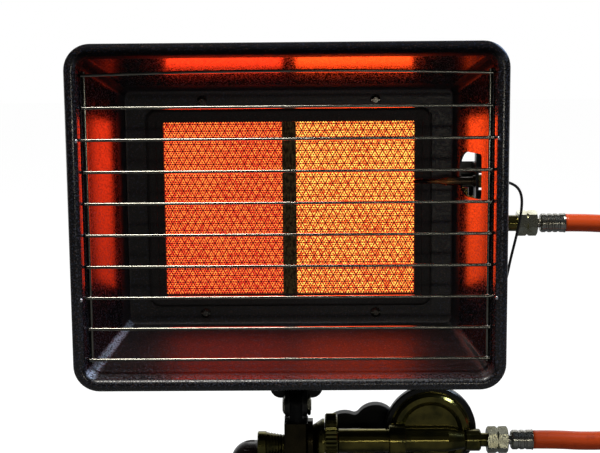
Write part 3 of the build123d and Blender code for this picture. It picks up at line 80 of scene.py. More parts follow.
# ---- Light --------------------------------------------------------------------------

AMBIENT_SKY = 0.34        # soft light from above
AMBIENT_LOW = 0.04        # and from below
AMBIENT_LOW_Z = -0.6      # directions between which one turns into the other
AMBIENT_SKY_Z = 0.8
FRONT_REFLECTION = 0.045  # what polished pieces see in front of the heater
MIRROR_FROM_Y = 0.50      # directions between which they come to see the background
MIRROR_FULL_Y = 0.96
FLOOR_SIZE = 12.0
FLOOR_DROP = 0.5 * MM     # below the heater's lowest point
FLOOR_GREY = 0.16
FLOOR_GLOW = 0.94         # white background seen by the camera
FLOOR_MIRROR_FROM_Y = 0.4  # places between which polished pieces come to see it
FLOOR_MIRROR_FULL_Y = 1.6
LAMPS = [
    # name, place, aim, width, height, watts, colour
    ("key", (-0.23, -0.30, 1.30), (-0.10, -0.10, 0.20), 0.46, 0.20, 15.0, (1.0, 0.97, 0.90)),
    ("right", (0.84, -0.18, 0.98), (-0.10, 0.0, 0.14), 0.20, 0.26, 8.0, (0.66, 0.80, 1.0)),
    ("strip", (0.22, -1.00, 0.22), (0.10, 0.0, 0.07), 0.30, 0.04, 0.6, (1.0, 0.95, 0.80)),
    ("back", (0.10, 0.95, 0.95), (0.0, 0.0, 0.15), 0.90, 0.40, 2.5, (1.0, 1.0, 1.0)),
]

# ---- Hose and lead, routes in millimetres ---------------------------------------------
# The hose has the points of its solid. The lead's lie up to about 3 mm from its solid's.

ROUTE_DENSITY = 12
HOSE_DIAMETER = 13.3 * MM
HOSE_SIDES = 40
HOSE_RIPPLE = 0.12 * MM
HOSE_RIPPLES = 20         # round its girth
HOSE_ROUTE = [
    (203.0, 62.0, 211.0),
    (222.0, 62.0, 211.0),
    (245.5, 61.8, 208.8),
    (271.5, 60.0, 201.0),
    (295.5, 54.5, 186.5),
    (312.0, 45.5, 165.5),
    (319.0, 36.0, 140.0),
    (315.5, 26.0, 114.0),
    (302.5, 17.0, 91.5),
    (281.5, 9.0, 75.0),
    (256.0, 3.5, 64.5),
    (229.0, 0.8, 60.0),
    (205.5, 0.0, 60.0),
    (189.0, 0.0, 61.2),
    (171.2, 0.0, 61.2),
]
LEAD_DIAMETER = 2.0 * MM
LEAD_BEVEL_STEPS = 6
LEAD_ROUTE = [
    (144.0, 0.0, 250.2),
    (149.8, 0.2, 249.4),
    (155.6, 3.5, 247.2),
    (160.6, 10.0, 242.8),
    (163.8, 18.0, 235.8),
    (164.8, 25.5, 226.2),
    (164.0, 31.0, 214.8),
    (161.8, 34.0, 202.0),
    (159.0, 36.3, 188.5),
    (157.0, 40.0, 174.5),
    (155.0, 46.0, 161.5),
    (153.2, 52.5, 149.5),
    (151.8, 57.0, 140.5),
    (151.0, 59.5, 131.5),
    (147.8, 61.0, 125.8),
    (141.8, 61.6, 122.3),
    (135.3, 62.0, 122.8),
    (130.3, 62.6, 126.8),
    (127.0, 62.7, 133.0),
    (126.3, 62.0, 144.0),
    (128.0, 62.0, 153.0),
    (128.0, 62.0, 163.0),
]

# ---- Spring under the safety button ---------------------------------------------------

SPRING_WIRE = 1.0 * MM
SPRING_TURNS = 3
SPRING_SIDES = 12
SPRING_STEPS = 32         # along each turn

# ---- Guard's welds, in millimetres ----------------------------------------------------

GUARD_CENTRE = (-3.6, 230.0)
GUARD_WIDTH = 272.2
GUARD_HEIGHT = 195.0
GUARD_WIRES = 10
HOOK_WIRES = (2, 7)
CROSSING_Y = -40.4        # where the wires across touch the upright ones
TACK_X = 141.2            # from the guard's centre to the tack on each hook's end
TACK_Y = -48.3
BEAD = 0.95 * MM
CROSSING_SHAPE = (1.5, 1.0, 1.4)
TACK_SHAPE = (1.4, 0.9, 1.5)

# ---- Places where a finish changes ----------------------------------------------------

RIM_BACK_Y = -0.0435      # the rolled rim lies in front of this, the pan's inside behind it
PAN_INSIDE_Y = -0.0415
FILM_FROM_Y = 0.002       # the back plate's film of heat starts on the walls in front of it
FILM_FULL_Y = 0.008
SOOT_FROM_Z = 0.332       # the rim is dulled by heat above this height
SOOT_FULL_Z = 0.342
PROBE_SOOT_X = 0.096      # the probe is sooty left of this
PROBE_STEEL_X = 0.122     # and plain steel right of this
GLOW_LOW_Z = 0.150        # the plaques' glow grows between these heights
GLOW_HIGH_Z = 0.285

# ---- Enamel -------------------------------------------------------------------------

BUMP_DEPTH = 0.07 * MM
SIDE_SLOPE = 0.14         # lean that the bump adds to the side walls, about 8 degrees
LOWER_FILM = 0.32         # roughness that each kind of dulling adds
PLATE_FILM = 0.34
SOOT_FILM = 0.60
UPPER_FOLD_FILM = 0.55
LOWER_FOLD_FILM = 0.40
RIM_TOP_FILM = 0.18
SOOT_DULL = 0.92          # how far each one kills the clear gloss
LOWER_DULL = 0.50
FOLD_DULL = 0.60

# ---- Plaques ------------------------------------------------------------------------

STAR_PITCH = 5.5 * MM
HOLE_PITCH = STAR_PITCH / 3
REFLECTED_LOW = 0.50      # the lower part of a plaque is mirrored less brightly
NEAR_WALL = 0.085         # walls nearer than this mirror the whole glow
FAR_WALL = 0.116          # and this far off only a little of it
FAR_GLOW = 0.10
RIB_GLOW = (0.75, 0.016, 0.004)
HOLE_GLOW = (0.05, 0.003, 0.005)
STAR_GLOW = (0.012, 0.001, 0.002)
CERAMIC = (0.30, 0.12, 0.06)
# Painted shade: the dark base colour in the plaques' holes and star centres.
PIT_SHADE = (0.02, 0.01, 0.01)
BLACK = (0.0, 0.0, 0.0)

# ---- Node trees ---------------------------------------------------------------------


class Tree:
    """A node tree, with short ways to add the nodes used here."""

    def __init__(self, tree):
        self.tree = tree

    def new(self, kind):
        return self.tree.nodes.new(kind)

    def put(self, socket, value):
        """Link a socket to the value where that is a socket too, or else set it."""
        if isinstance(value, bpy.types.NodeSocket):
            self.tree.links.new(value, socket)
        else:
            socket.default_value = value

    def math(self, operation, a, b=0.0):
        node = self.new("ShaderNodeMath")
        node.operation = operation
        self.put(node.inputs[0], a)
        self.put(node.inputs[1], b)
        return node.outputs[0]

    def product(self, a, b):
        return self.math("MULTIPLY", a, b)

    def greatest(self, first, *others):
        for other in others:
            first = self.math("MAXIMUM", first, other)
        return first

    def sum(self, first, *others):
        for other in others:
            first = self.math("ADD", first, other)
        return first

    def ramp(self, value, low, high, out_low=0.0, out_high=1.0, kind="LINEAR"):
        node = self.new("ShaderNodeMapRange")
        node.interpolation_type = kind
        self.put(node.inputs["Value"], value)
        node.inputs["From Min"].default_value = low
        node.inputs["From Max"].default_value = high
        node.inputs["To Min"].default_value = out_low
        node.inputs["To Max"].default_value = out_high
        return node.outputs["Result"]

    def step(self, value, low, high, out_low=0.0, out_high=1.0):
        """Smooth step of value from low to high."""
        return self.ramp(value, low, high, out_low, out_high, "SMOOTHSTEP")

    def mix(self, factor, a, b):
        """Number a where the factor is 0 and b where it is 1."""
        node = self.new("ShaderNodeMix")
        self.put(node.inputs[0], factor)
        self.put(node.inputs[2], a)
        self.put(node.inputs[3], b)
        return node.outputs[0]

    def axes(self, vector):
        node = self.new("ShaderNodeSeparateXYZ")
        self.put(node.inputs[0], vector)
        return node.outputs[0], node.outputs[1], node.outputs[2]


class Surface(Tree):
    """One Principled material and the nodes that feed it."""

    def __init__(self, name, roughness=0.5, metallic=0.0):
        self.material = bpy.data.materials.new(name)
        self.material.use_nodes = True
        super().__init__(self.material.node_tree)
        self.shader = self.tree.nodes["Principled BSDF"]
        self.feed("Roughness", roughness)
        self.feed("Metallic", metallic)
        places = self.new("ShaderNodeTexCoord").outputs
        self.coords, self.normal = places["Object"], places["Normal"]

    def feed(self, socket, value):
        self.put(self.shader.inputs[socket], value)

    def blend(self, factor, a, b):
        """Colour a where the factor is 0 and b where it is 1."""
        node = self.new("ShaderNodeMix")
        node.data_type = "RGBA"
        self.put(node.inputs[0], factor)
        for socket, colour in ((node.inputs[6], a), (node.inputs[7], b)):
            self.put(socket, colour if isinstance(colour, bpy.types.NodeSocket) else (*colour, 1.0))
        return node.outputs[2]

    def stretch(self, scale):
        """Object coordinates with each axis scaled by itself."""
        node = self.new("ShaderNodeMapping")
        node.inputs["Scale"].default_value = scale
        self.put(node.inputs["Vector"], self.coords)
        return node.outputs[0]

    def noise(self, size, detail=2.0, coords=None, rough=0.5):
        """Noise whose lumps are about this size, in metres."""
        node = self.new("ShaderNodeTexNoise")
        node.inputs["Scale"].default_value = 1.0 / size
        node.inputs["Detail"].default_value = detail
        node.inputs["Roughness"].default_value = rough
        self.put(node.inputs["Vector"], coords or self.coords)
        return node.outputs[0]

    def cells(self, size):
        node = self.new("ShaderNodeTexVoronoi")
        node.inputs["Scale"].default_value = 1.0 / size
        self.put(node.inputs["Vector"], self.coords)
        return node.outputs["Distance"]

    def bump(self, height, depth, strength=1.0):
        node = self.new("ShaderNodeBump")
        node.inputs["Strength"].default_value = strength
        node.inputs["Distance"].default_value = depth
        self.put(node.inputs["Height"], height)
        self.feed("Normal", node.outputs[0])


# ---- Materials ----------------------------------------------------------------------


def enamel(name, base, fleck, fold_sheen, roughness=0.15):
    """Dark hammered enamel with fine cool and warm flecks.

    It is dull where heat reaches it, on the back plate and along the top of the rim, and
    where a dull film lies, on the lower wall and in the lower folds. A speckled pale
    bluish painted highlight lies in the lower left fold.
    """
    s = Surface(name)
    lumps = s.noise(1.5 * MM, 2.0, rough=0.6)
    grain = s.noise(1.2 * MM, 1.0)
    broad = s.noise(40 * MM, 3.0)
    warm = s.noise(1.1 * MM, 1.0, s.stretch((1.0, 1.3, 1.15)))
    nx, _, nz = s.axes(s.normal)
    _, y, z = s.axes(s.coords)

    inside = s.step(y, RIM_BACK_Y, PAN_INSIDE_Y)
    rim = s.math("SUBTRACT", 1.0, inside)
    slant = s.product(nx, nz)
    fold = s.step(s.math("ABSOLUTE", slant), 0.16, 0.34)
    upper_fold = s.product(fold, s.step(nz, -0.2, 0.0, 1.0, 0.0))
    lower = s.product(s.step(nz, 0.70, 0.88), inside)
    soot = s.product(s.step(z, SOOT_FROM_Z, SOOT_FULL_Z), rim)
    # Painted highlight: a speckled pale sheen on the fold between the left and lower walls, standing in for
    # light caught there.
    painted_sheen = s.product(s.step(slant, 0.20, 0.40), s.step(nz, 0.1, 0.3))
    painted_sheen = s.product(painted_sheen, s.step(grain, 0.38, 0.58, 0.12, 1.0))

    colour = s.blend(s.step(grain, 0.54, 0.70), base, fleck)
    colour = s.blend(s.step(warm, 0.60, 0.72), colour, tuple(reversed(fleck)))
    # The base colour carries the fold's painted highlight.
    s.feed("Base Color", s.blend(painted_sheen, colour, fold_sheen))

    film = s.greatest(
        s.product(lower, LOWER_FILM),
        s.step(y, FILM_FROM_Y, FILM_FULL_Y, 0.0, PLATE_FILM),
        s.product(fold, s.step(nz, -0.2, 0.2, UPPER_FOLD_FILM, LOWER_FOLD_FILM)),
        s.product(soot, SOOT_FILM),
        s.product(rim, s.step(nz, 0.1, 0.6, 0.0, RIM_TOP_FILM)),
    )
    uneven = s.step(broad, 0.3, 0.7, roughness - 0.02, roughness + 0.02)
    s.feed("Roughness", s.sum(uneven, film, s.step(grain, 0.38, 0.62, -0.07, 0.16)))
    s.feed("Metallic", s.greatest(
        s.product(soot, SOOT_DULL), s.product(lower, LOWER_DULL), s.product(upper_fold, FOLD_DULL),
    ))
    s.feed("Specular IOR Level", 0.42)

    sides = s.product(s.step(s.math("ABSOLUTE", nx), 0.5, 0.8), inside)
    lean = s.product(s.product(y, SIDE_SLOPE / BUMP_DEPTH), sides)
    s.bump(s.sum(lumps, lean), BUMP_DEPTH, 1.0)
    return s.material


def lattice(s, pitch):
    """Three waves whose sum peaks on a triangular lattice in the X-Z plane."""
    x, _, z = s.axes(s.coords)
    along = s.product(x, 2 * pi / pitch)
    up = s.product(z, 2 * pi / (pitch * sqrt(3)))
    first = s.math("COSINE", s.product(up, 2.0))
    second = s.math("COSINE", s.sum(along, up))
    third = s.math("COSINE", s.math("SUBTRACT", along, up))
    return first, second, third


def plaque(name, hot, warm, reflected):
    """Glowing ceramic: fine holes on a triangular lattice, ribs and stars on one three times as wide.

    What the enamel mirrors is the full glow, redder and stronger than the face looks.
    """
    s = Surface(name, roughness=0.85)
    _, _, z = s.axes(s.coords)
    hole = s.step(s.sum(*lattice(s, HOLE_PITCH)), -0.6, 0.7)
    ribs = lattice(s, STAR_PITCH)
    rib = s.step(s.greatest(*ribs), 0.40, 0.98)
    star = s.step(s.sum(*ribs), 1.6, 2.8)

    uneven = s.step(s.noise(1.1 * MM, 1.0), 0.42, 0.58)
    patches = s.step(s.noise(30 * MM, 2.0), 0.3, 0.7, -0.1, 0.1)
    height = s.step(z, GLOW_LOW_Z, GLOW_HIGH_Z, -0.15, 0.15)
    level = s.sum(uneven, s.sum(height, patches))
    glow = s.blend(s.step(level, 0.0, 1.0), warm, hot)
    glow = s.blend(s.product(rib, 0.80), glow, RIB_GLOW)
    glow = s.blend(s.product(hole, 0.99), glow, HOLE_GLOW)
    glow = s.blend(star, glow, STAR_GLOW)

    rays = s.new("ShaderNodeLightPath").outputs
    near = s.step(rays["Ray Length"], NEAR_WALL, FAR_WALL, 1.0, FAR_GLOW)
    lit = s.product(near, s.step(z, GLOW_LOW_Z, GLOW_HIGH_Z, REFLECTED_LOW, 1.0))
    mirrored = s.blend(lit, BLACK, reflected)
    s.feed("Emission Color", s.blend(rays["Is Glossy Ray"], glow, mirrored))
    s.feed("Emission Strength", 1.0)
    # The holes and star centres are painted dark in the base colour, as shade in them.
    s.feed("Base Color", s.blend(s.greatest(hole, star), CERAMIC, PIT_SHADE))
    s.feed("Specular IOR Level", 0.2)
    s.bump(s.math("SUBTRACT", 1.0, hole), 0.4 * MM, 0.7)
    s.material.cycles.emission_sampling = "NONE"
    return s.material


def fibre(name, light, dark):
    """Mineral fibre board: matted strands and dark pits."""
    s = Surface(name, roughness=0.95)
    strands = s.noise(1.6 * MM, 4.0, s.stretch((1.0, 1.0, 0.45)), 0.7)
    pits = s.step(s.cells(2.6 * MM), 0.05, 0.40)
    colour = s.blend(s.step(strands, 0.38, 0.62), dark, light)
    s.feed("Base Color", s.blend(pits, dark, colour))
    s.feed("Specular IOR Level", 0.15)
    s.bump(strands, 0.25 * MM, 0.8)
    return s.material


def metal(name, base, tint, roughness, metallic=1.0, streak=(1.0, 1.0, 1.0)):
    """Sheet, wire or turned metal: fine grain, stretched by streak, broad stains, uneven gloss."""
    s = Surface(name, metallic=metallic)
    grain = s.noise(0.7 * MM, 3.0, s.stretch(streak), 0.6)
    stains = s.noise(14 * MM, 4.0)
    colour = s.blend(s.step(stains, 0.35, 0.68), base, tint)
    dark = tuple(0.55 * c for c in base)
    s.feed("Base Color", s.blend(s.step(grain, 0.35, 0.72, 0.45, 0.0), colour, dark))
    fine = s.step(grain, 0.25, 0.75, -0.05, 0.07)
    s.feed("Roughness", s.sum(fine, s.step(stains, 0.2, 0.8, roughness - 0.03, roughness + 0.06)))
    s.bump(grain, 0.008 * MM, 0.35)
    return s.material


def painted(name, base, chip, roughness, specular=0.5):
    """Stove paint over steel, with a little orange peel and rubbed high spots."""
    s = Surface(name)
    peel = s.noise(1.1 * MM, 1.0)
    rubbed = s.step(s.noise(6 * MM, 5.0, rough=0.7), 0.62, 0.78)
    s.feed("Base Color", s.blend(s.product(rubbed, 0.5), base, chip))
    s.feed("Roughness", s.step(peel, 0.2, 0.8, roughness - 0.05, roughness + 0.08))
    s.feed("Specular IOR Level", specular)
    s.bump(peel, 0.04 * MM, 0.5)
    return s.material


def heat_tinted(name, steel, straw, soot, start, end):
    """Probe metal: soot at the hot end, straw colour behind it, plain steel at the cold end."""
    s = Surface(name, roughness=0.32, metallic=1.0)
    x, _, _ = s.axes(s.coords)
    place = s.sum(x, s.product(s.noise(5 * MM, 3.0), 8 * MM))
    middle = (start + end) / 2
    colour = s.blend(s.step(place, start, middle), soot, straw)
    s.feed("Base Color", s.blend(s.step(place, middle, end), colour, steel))
    s.feed("Roughness", s.step(s.noise(1.0 * MM, 3.0), 0.3, 0.7, 0.26, 0.44))
    return s.material


def rubber(name, base, scuff, roughness, specular=0.35):
    """Rubber: a fine grain, scuffs and a soft shine."""
    s = Surface(name)
    fine = s.noise(0.8 * MM, 3.0)
    scuffs = s.step(s.noise(9 * MM, 5.0, rough=0.75), 0.55, 0.75)
    s.feed("Base Color", s.blend(s.product(scuffs, 0.6), base, scuff))
    s.feed("Roughness", s.step(fine, 0.3, 0.7, roughness - 0.05, roughness + 0.08))
    s.feed("Specular IOR Level", specular)
    s.bump(fine, 0.03 * MM, 0.5)
    return s.material


def moulded(name, base, light, roughness, specular=0.5):
    """Moulded plastic with a spark-eroded grain."""
    s = Surface(name)
    grain = s.noise(0.5 * MM, 2.0)
    broad = s.noise(18 * MM, 2.0)
    s.feed("Base Color", s.blend(s.step(broad, 0.3, 0.75), base, light))
    s.feed("Roughness", s.step(grain, 0.25, 0.75, roughness - 0.06, roughness + 0.08))
    s.feed("Specular IOR Level", specular)
    s.bump(grain, 0.025 * MM, 0.6)
    return s.material


# ---- Finishes -----------------------------------------------------------------------

ACROSS_X = (0.08, 1.0, 1.0)  # how the grain is stretched on drawn, turned and rolled metal
TURNED_X = (0.2, 1.0, 1.0)
ROLLED_Z = (1.0, 1.0, 0.2)

# name: material, then its own arguments: colours, roughness and so on
RECIPES = {
    # The third colour of each enamel is the painted highlight in its lower left fold.
    "enamel": (enamel, (0.0036, 0.0036, 0.0044), (0.022, 0.026, 0.044), (0.26, 0.32, 0.44)),
    "bezel": (enamel, (0.0045, 0.0042, 0.0042), (0.016, 0.015, 0.020), (0.020, 0.020, 0.022), 0.34),
    "tile_left": (plaque, (1.85, 0.44, 0.070), (0.95, 0.030, 0.009), (14.5, 0.58, 0.12)),
    "tile_right": (plaque, (2.25, 1.22, 0.20), (1.15, 0.13, 0.014), (20.0, 1.20, 0.14)),
    "strip": (fibre, (0.105, 0.080, 0.034), (0.020, 0.015, 0.008)),
    "fibre": (fibre, (0.055, 0.045, 0.030), (0.014, 0.011, 0.008)),
    "wire": (metal, (0.20, 0.198, 0.175), (0.15, 0.147, 0.125), 0.16, 1.0, ACROSS_X),
    "screw": (metal, (0.10, 0.098, 0.09), (0.05, 0.046, 0.04), 0.24),
    "weld": (metal, (0.55, 0.56, 0.60), (0.38, 0.40, 0.46), 0.30),
    "steel": (metal, (0.32, 0.32, 0.29), (0.18, 0.165, 0.13), 0.22),
    "aluminised": (metal, (0.30, 0.29, 0.27), (0.20, 0.16, 0.12), 0.42, 0.9, ROLLED_Z),
    "zinc": (metal, (0.50, 0.50, 0.39), (0.30, 0.28, 0.16), 0.20),
    "brass": (metal, (0.36, 0.25, 0.07), (0.18, 0.12, 0.035), 0.24, 1.0, TURNED_X),
    "passivated": (metal, (0.15, 0.135, 0.040), (0.06, 0.06, 0.020), 0.18),
    "dark_brass": (metal, (0.030, 0.024, 0.012), (0.014, 0.012, 0.007), 0.26),
    "casting": (metal, (0.13, 0.11, 0.028), (0.020, 0.022, 0.009), 0.15, 0.95),
    "crimp": (painted, (0.004, 0.004, 0.0035), (0.015, 0.014, 0.011), 0.30, 0.20),
    "black_steel": (painted, (0.003, 0.003, 0.0035), (0.012, 0.012, 0.012), 0.42, 0.25),
    "post": (painted, (0.0015, 0.0015, 0.0018), (0.006, 0.006, 0.006), 0.42, 0.12),
    "bracket": (painted, (0.003, 0.003, 0.0035), (0.012, 0.012, 0.013), 0.36, 0.25),
    "probe": (
        heat_tinted, (0.040, 0.030, 0.020), (0.20, 0.09, 0.03), (0.006, 0.005, 0.005),
        PROBE_SOOT_X, PROBE_STEEL_X,
    ),
    "lead": (rubber, (0.006, 0.006, 0.006), (0.020, 0.020, 0.020), 0.42),
    "hose": (rubber, (0.48, 0.048, 0.003), (0.12, 0.009, 0.003), 0.36, 0.22),
    "knob": (moulded, (0.003, 0.003, 0.0035), (0.006, 0.006, 0.007), 0.42, 0.15),
    "tap_knob": (moulded, (0.010, 0.003, 0.003), (0.020, 0.005, 0.004), 0.30),
    "red": (moulded, (0.42, 0.012, 0.010), (0.50, 0.022, 0.016), 0.34),
    "rubber": (rubber, (0.015, 0.015, 0.015), (0.035, 0.034, 0.032), 0.6),
}

NODE_FINISH = {
    "reflector": "enamel",
    "guard": "wire",
    "burner_frame": "bezel",
    "tile_left": "tile_left",
    "tile_right": "tile_right",
    "centre_strip": "strip",
    "tile_gasket": "fibre",
    "plenum": "aluminised",
    "plenum_baffle": "aluminised",
    "mixing_tube": "zinc",
    "burner_screws": "screw",
    "valve_bracket": "bracket",
    "safety_valve": "brass",
    "jet_holder": "brass",
    "jet": "brass",
    "valve_bonnet": "brass",
    "safety_button": "red",
    "button_spring": "steel",
    "magnet_unit": "zinc",
    "thermocouple_nut": "brass",
    "probe_bracket": "bracket",
    "thermocouple": "probe",
    "probe_nut": "brass",
    "inlet_nipple": "casting",
    "upper_hose_nut": "zinc",
    "upper_hose_tail": "steel",
    "tilt_bracket": "black_steel",
    "tilt_bracket_screws": "screw",
    "pivot_bolt": "steel",
    "pivot_nut": "zinc",
    "pivot_washers": "rubber",
    "stand_post": "post",
    "manifold": "dark_brass",
    "relief_valve": "casting",
    "relief_cap": "passivated",
    "tap_gland": "casting",
    "tap_spindle": "steel",
    "tap_knob": "tap_knob",
    "outlet_nipple": "passivated",
    "union_nut": "passivated",
    "regulator_body": "casting",
    "regulator_diaphragm": "rubber",
    "regulator_bonnet": "crimp",
    "regulator_spring": "steel",
    "regulator_cap": "crimp",
    "shutoff_gland": "passivated",
    "shutoff_spindle": "steel",
    "shutoff_knob": "knob",
    "lower_hose_nut": "zinc",
    "lower_hose_tail": "steel",
    "cylinder_nipple": "brass",
    "cylinder_seal": "rubber",
    "hand_nut": "knob",
}


def make_finishes():
    return {name: material(name, *values) for name, (material, *values) in RECIPES.items()}


def dress_nodes(nodes, finishes):
    for node, finish in NODE_FINISH.items():
        data = nodes[node].data
        if not data.materials:
            data.materials.append(None)
        for k in range(len(data.materials)):
            data.materials[k] = finishes[finish]


# ---- Shapes -------------------------------------------------------------------------


def link(obj, material=None):
    bpy.context.scene.collection.objects.link(obj)
    if material:
        obj.data.materials.append(material)
    return obj


def mesh_object(name, bm, material):
    data = bpy.data.meshes.new(name)
    bm.to_mesh(data)
    bm.free()
    for polygon in data.polygons:
        polygon.use_smooth = True
    return link(bpy.data.objects.new(name, data), material)


def spline_curve(name, route):
    """Curve with one NURBS spline through a route given in millimetres."""
    data = bpy.data.curves.new(name, "CURVE")
    data.dimensions = "3D"
    data.resolution_u = ROUTE_DENSITY
    spline = data.splines.new("NURBS")
    spline.points.add(len(route) - 1)
    for point, place in zip(spline.points, route):
        point.co = (*(c * MM for c in place), 1.0)
    spline.order_u = 3
    spline.use_endpoint_u = True
    return data


def spline_points(route):
    """Points read from the route's NURBS spline."""
    holder = bpy.data.objects.new("route", spline_curve("route", route))
    mesh = bpy.data.meshes.new_from_object(holder)
    points = [v.co.copy() for v in mesh.vertices]
    bpy.data.objects.remove(holder)
    return points


def frames_along(points):
    """A steady pair of cross directions at each point of a path."""
    side = (points[1] - points[0]).orthogonal().normalized()
    frames = []
    for k, point in enumerate(points):
        ahead = (points[min(k + 1, len(points) - 1)] - points[max(k - 1, 0)]).normalized()
        side = (side - ahead * side.dot(ahead)).normalized()
        frames.append((point, side, ahead.cross(side)))
    return frames


def round_tube(name, points, radius, material, sides, ripple=0.0, ripples=0):
    """Closed round tube along a path, its surface rippled a little round its girth."""
    bm = bmesh.new()
    rings = []
    for place, side, up in frames_along(points):
        ring = []
        for k in range(sides):
            turn = 2 * pi * k / sides
            r = radius - ripple * (0.5 - 0.5 * cos(ripples * turn))
            ring.append(bm.verts.new(place + side * (r * cos(turn)) + up * (r * sin(turn))))
        rings.append(ring)
    for first, second in zip(rings, rings[1:]):
        for k in range(sides):
            n = (k + 1) % sides
            bm.faces.new((first[k], first[n], second[n], second[k]))
    bm.faces.new(list(reversed(rings[0])))
    bm.faces.new(rings[-1])
    return mesh_object(name, bm, material)


def beads(name, places, size, material):
    """Small flattened weld beads, each given by its place and its shape."""
    bm = bmesh.new()
    for place, shape in places:
        matrix = Matrix.Translation(place) @ Matrix.Diagonal((*(size * c for c in shape), 1.0))
        bmesh.ops.create_icosphere(bm, subdivisions=2, radius=1.0, matrix=matrix)
    return mesh_object(name, bm, material)


# ---- Camera, world, floor and lamps -----------------------------------------------------


def add_camera():
    data = bpy.data.cameras.new("camera")
    data.sensor_fit = "HORIZONTAL"
    data.sensor_width = SENSOR_WIDTH
    data.lens = FOCAL_PX / IMAGE_WIDTH_PX * SENSOR_WIDTH
    data.clip_end = CLIP_END
    camera = link(bpy.data.objects.new("camera", data))
    yaw = Matrix.Rotation(CAMERA_YAW, 4, "Z")
    pitch = Matrix.Rotation(pi / 2 + CAMERA_PITCH, 4, "X")
    roll = Matrix.Rotation(-CAMERA_ROLL, 4, "Z")
    camera.matrix_world = Matrix.Translation(CAMERA_AT) @ yaw @ pitch @ roll
    bpy.context.scene.camera = camera


def add_world():
    """Light from all round, and white behind the heater for the camera and for clear and polished pieces."""
    world = bpy.data.worlds.new("world")
    bpy.context.scene.world = world
    world.use_nodes = True
    t = Tree(world.node_tree)
    rays = t.new("ShaderNodeLightPath").outputs
    _, ahead, up = t.axes(t.new("ShaderNodeTexCoord").outputs["Generated"])
    ambient = t.ramp(up, AMBIENT_LOW_Z, AMBIENT_SKY_Z, AMBIENT_LOW, AMBIENT_SKY)
    mirrored = t.ramp(ahead, MIRROR_FROM_Y, MIRROR_FULL_Y, FRONT_REFLECTION, 1.0)
    level = t.mix(rays["Is Glossy Ray"], ambient, mirrored)
    level = t.mix(rays["Is Transmission Ray"], level, 1.0)
    level = t.mix(rays["Is Camera Ray"], level, 1.0)
    background = t.tree.nodes["Background"]
    background.inputs["Color"].default_value = (1.0, 1.0, 1.0, 1.0)
    t.put(background.inputs["Strength"], level)


def add_floor():
    """Pale floor: white to the camera, with the heater's soft shadow on it."""
    material = bpy.data.materials.new("floor")
    material.use_nodes = True
    t = Tree(material.node_tree)
    nodes = t.tree.nodes
    nodes.remove(nodes["Principled BSDF"])
    plain = t.new("ShaderNodeBsdfDiffuse")
    plain.inputs["Color"].default_value = (FLOOR_GREY, FLOOR_GREY, FLOOR_GREY, 1.0)
    rays = t.new("ShaderNodeLightPath").outputs
    _, y, _ = t.axes(t.new("ShaderNodeTexCoord").outputs["Object"])
    behind = t.ramp(y, FLOOR_MIRROR_FROM_Y, FLOOR_MIRROR_FULL_Y)
    mirrored = t.product(rays["Is Glossy Ray"], behind)
    seen = t.greatest(rays["Is Camera Ray"], rays["Is Transmission Ray"], mirrored)
    glow = t.new("ShaderNodeEmission")
    t.put(glow.inputs["Strength"], t.product(seen, FLOOR_GLOW))
    both = t.new("ShaderNodeAddShader")
    t.put(both.inputs[0], plain.outputs[0])
    t.put(both.inputs[1], glow.outputs[0])
    t.put(nodes["Material Output"].inputs["Surface"], both.outputs[0])

    bm = bmesh.new()
    bmesh.ops.create_grid(bm, x_segments=1, y_segments=1, size=FLOOR_SIZE / 2)
    floor = mesh_object("floor", bm, material)
    floor.location.z = -FLOOR_DROP


def add_lamps():
    for name, place, aim, width, height, watts, colour in LAMPS:
        data = bpy.data.lights.new(name, "AREA")
        data.shape = "RECTANGLE"
        data.size = width
        data.size_y = height
        data.energy = watts
        data.color = colour
        lamp = link(bpy.data.objects.new(name, data))
        lamp.location = place
        lamp.rotation_euler = (Vector(aim) - Vector(place)).to_track_quat("-Z", "Y").to_euler()


# ---- Pieces that the solids leave plain ----------------------------------------------


def add_hose(finishes):
    points = spline_points(HOSE_ROUTE)
    hose = round_tube(
        "hose", points, HOSE_DIAMETER / 2, finishes["hose"], HOSE_SIDES, HOSE_RIPPLE, HOSE_RIPPLES,
    )
    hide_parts("gas_hose")
    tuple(points[0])
    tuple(points[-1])
    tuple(points[0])
    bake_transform(hose)


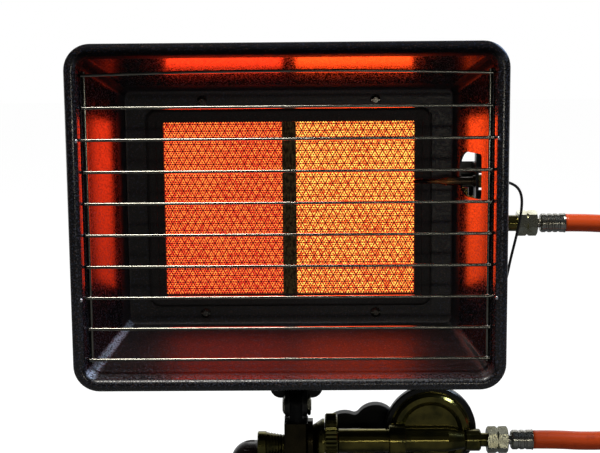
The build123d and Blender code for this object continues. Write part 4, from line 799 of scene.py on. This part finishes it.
def add_lead(finishes):
    data = spline_curve("lead", LEAD_ROUTE)
    data.bevel_depth = LEAD_DIAMETER / 2
    data.bevel_resolution = LEAD_BEVEL_STEPS
    data.use_fill_caps = True
    lead = link(bpy.data.objects.new("lead", data), finishes["lead"])
    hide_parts("thermocouple_lead")
    tuple(c * MM for c in LEAD_ROUTE[0])
    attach(lead, "head")


def add_button_spring(finishes):
    """The spring under the safety button, a fixed coil that fills its solid's box."""
    low, high = (Vector(corner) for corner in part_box("button_spring"))
    centre = (low + high) / 2
    radius = (high.x - low.x - SPRING_WIRE) / 2
    rise = high.z - low.z - SPRING_WIRE
    steps = SPRING_STEPS * SPRING_TURNS
    points = []
    for k in range(steps + 1):
        turn = 2 * pi * SPRING_TURNS * k / steps
        z = low.z + SPRING_WIRE / 2 + rise * k / steps
        points.append(Vector((centre.x + radius * cos(turn), centre.y + radius * sin(turn), z)))
    spring = round_tube("spring", points, SPRING_WIRE / 2, finishes["steel"], SPRING_SIDES)
    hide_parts("button_spring")
    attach(spring, "head")
    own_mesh(spring)


def add_welds(finishes):
    """Resistance weld beads at the guard's crossings, and a tack where each hook meets the rim."""
    centre_x, centre_z = GUARD_CENTRE
    places = []
    for side in (-1, 1):
        for k in range(GUARD_WIRES):
            z = centre_z + GUARD_HEIGHT / 2 - k * GUARD_HEIGHT / (GUARD_WIRES - 1)
            crossing = Vector((centre_x + side * GUARD_WIDTH / 2, CROSSING_Y, z)) * MM
            places.append((crossing, CROSSING_SHAPE))
            if k in HOOK_WIRES:
                tack = Vector((centre_x + side * TACK_X, TACK_Y, z)) * MM
                places.append((tack, TACK_SHAPE))
    welds = beads("guard_welds", places, BEAD, finishes["weld"])
    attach(welds, "head")


def main():
    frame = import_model()
    add_camera()
    add_world()
    add_floor()
    add_lamps()
    finishes = make_finishes()
    dress_nodes(frame["nodes"], finishes)
    add_hose(finishes)
    add_lead(finishes)
    add_button_spring(finishes)
    add_welds(finishes)
    bpy.context.scene.view_settings.view_transform = "Standard"


main()
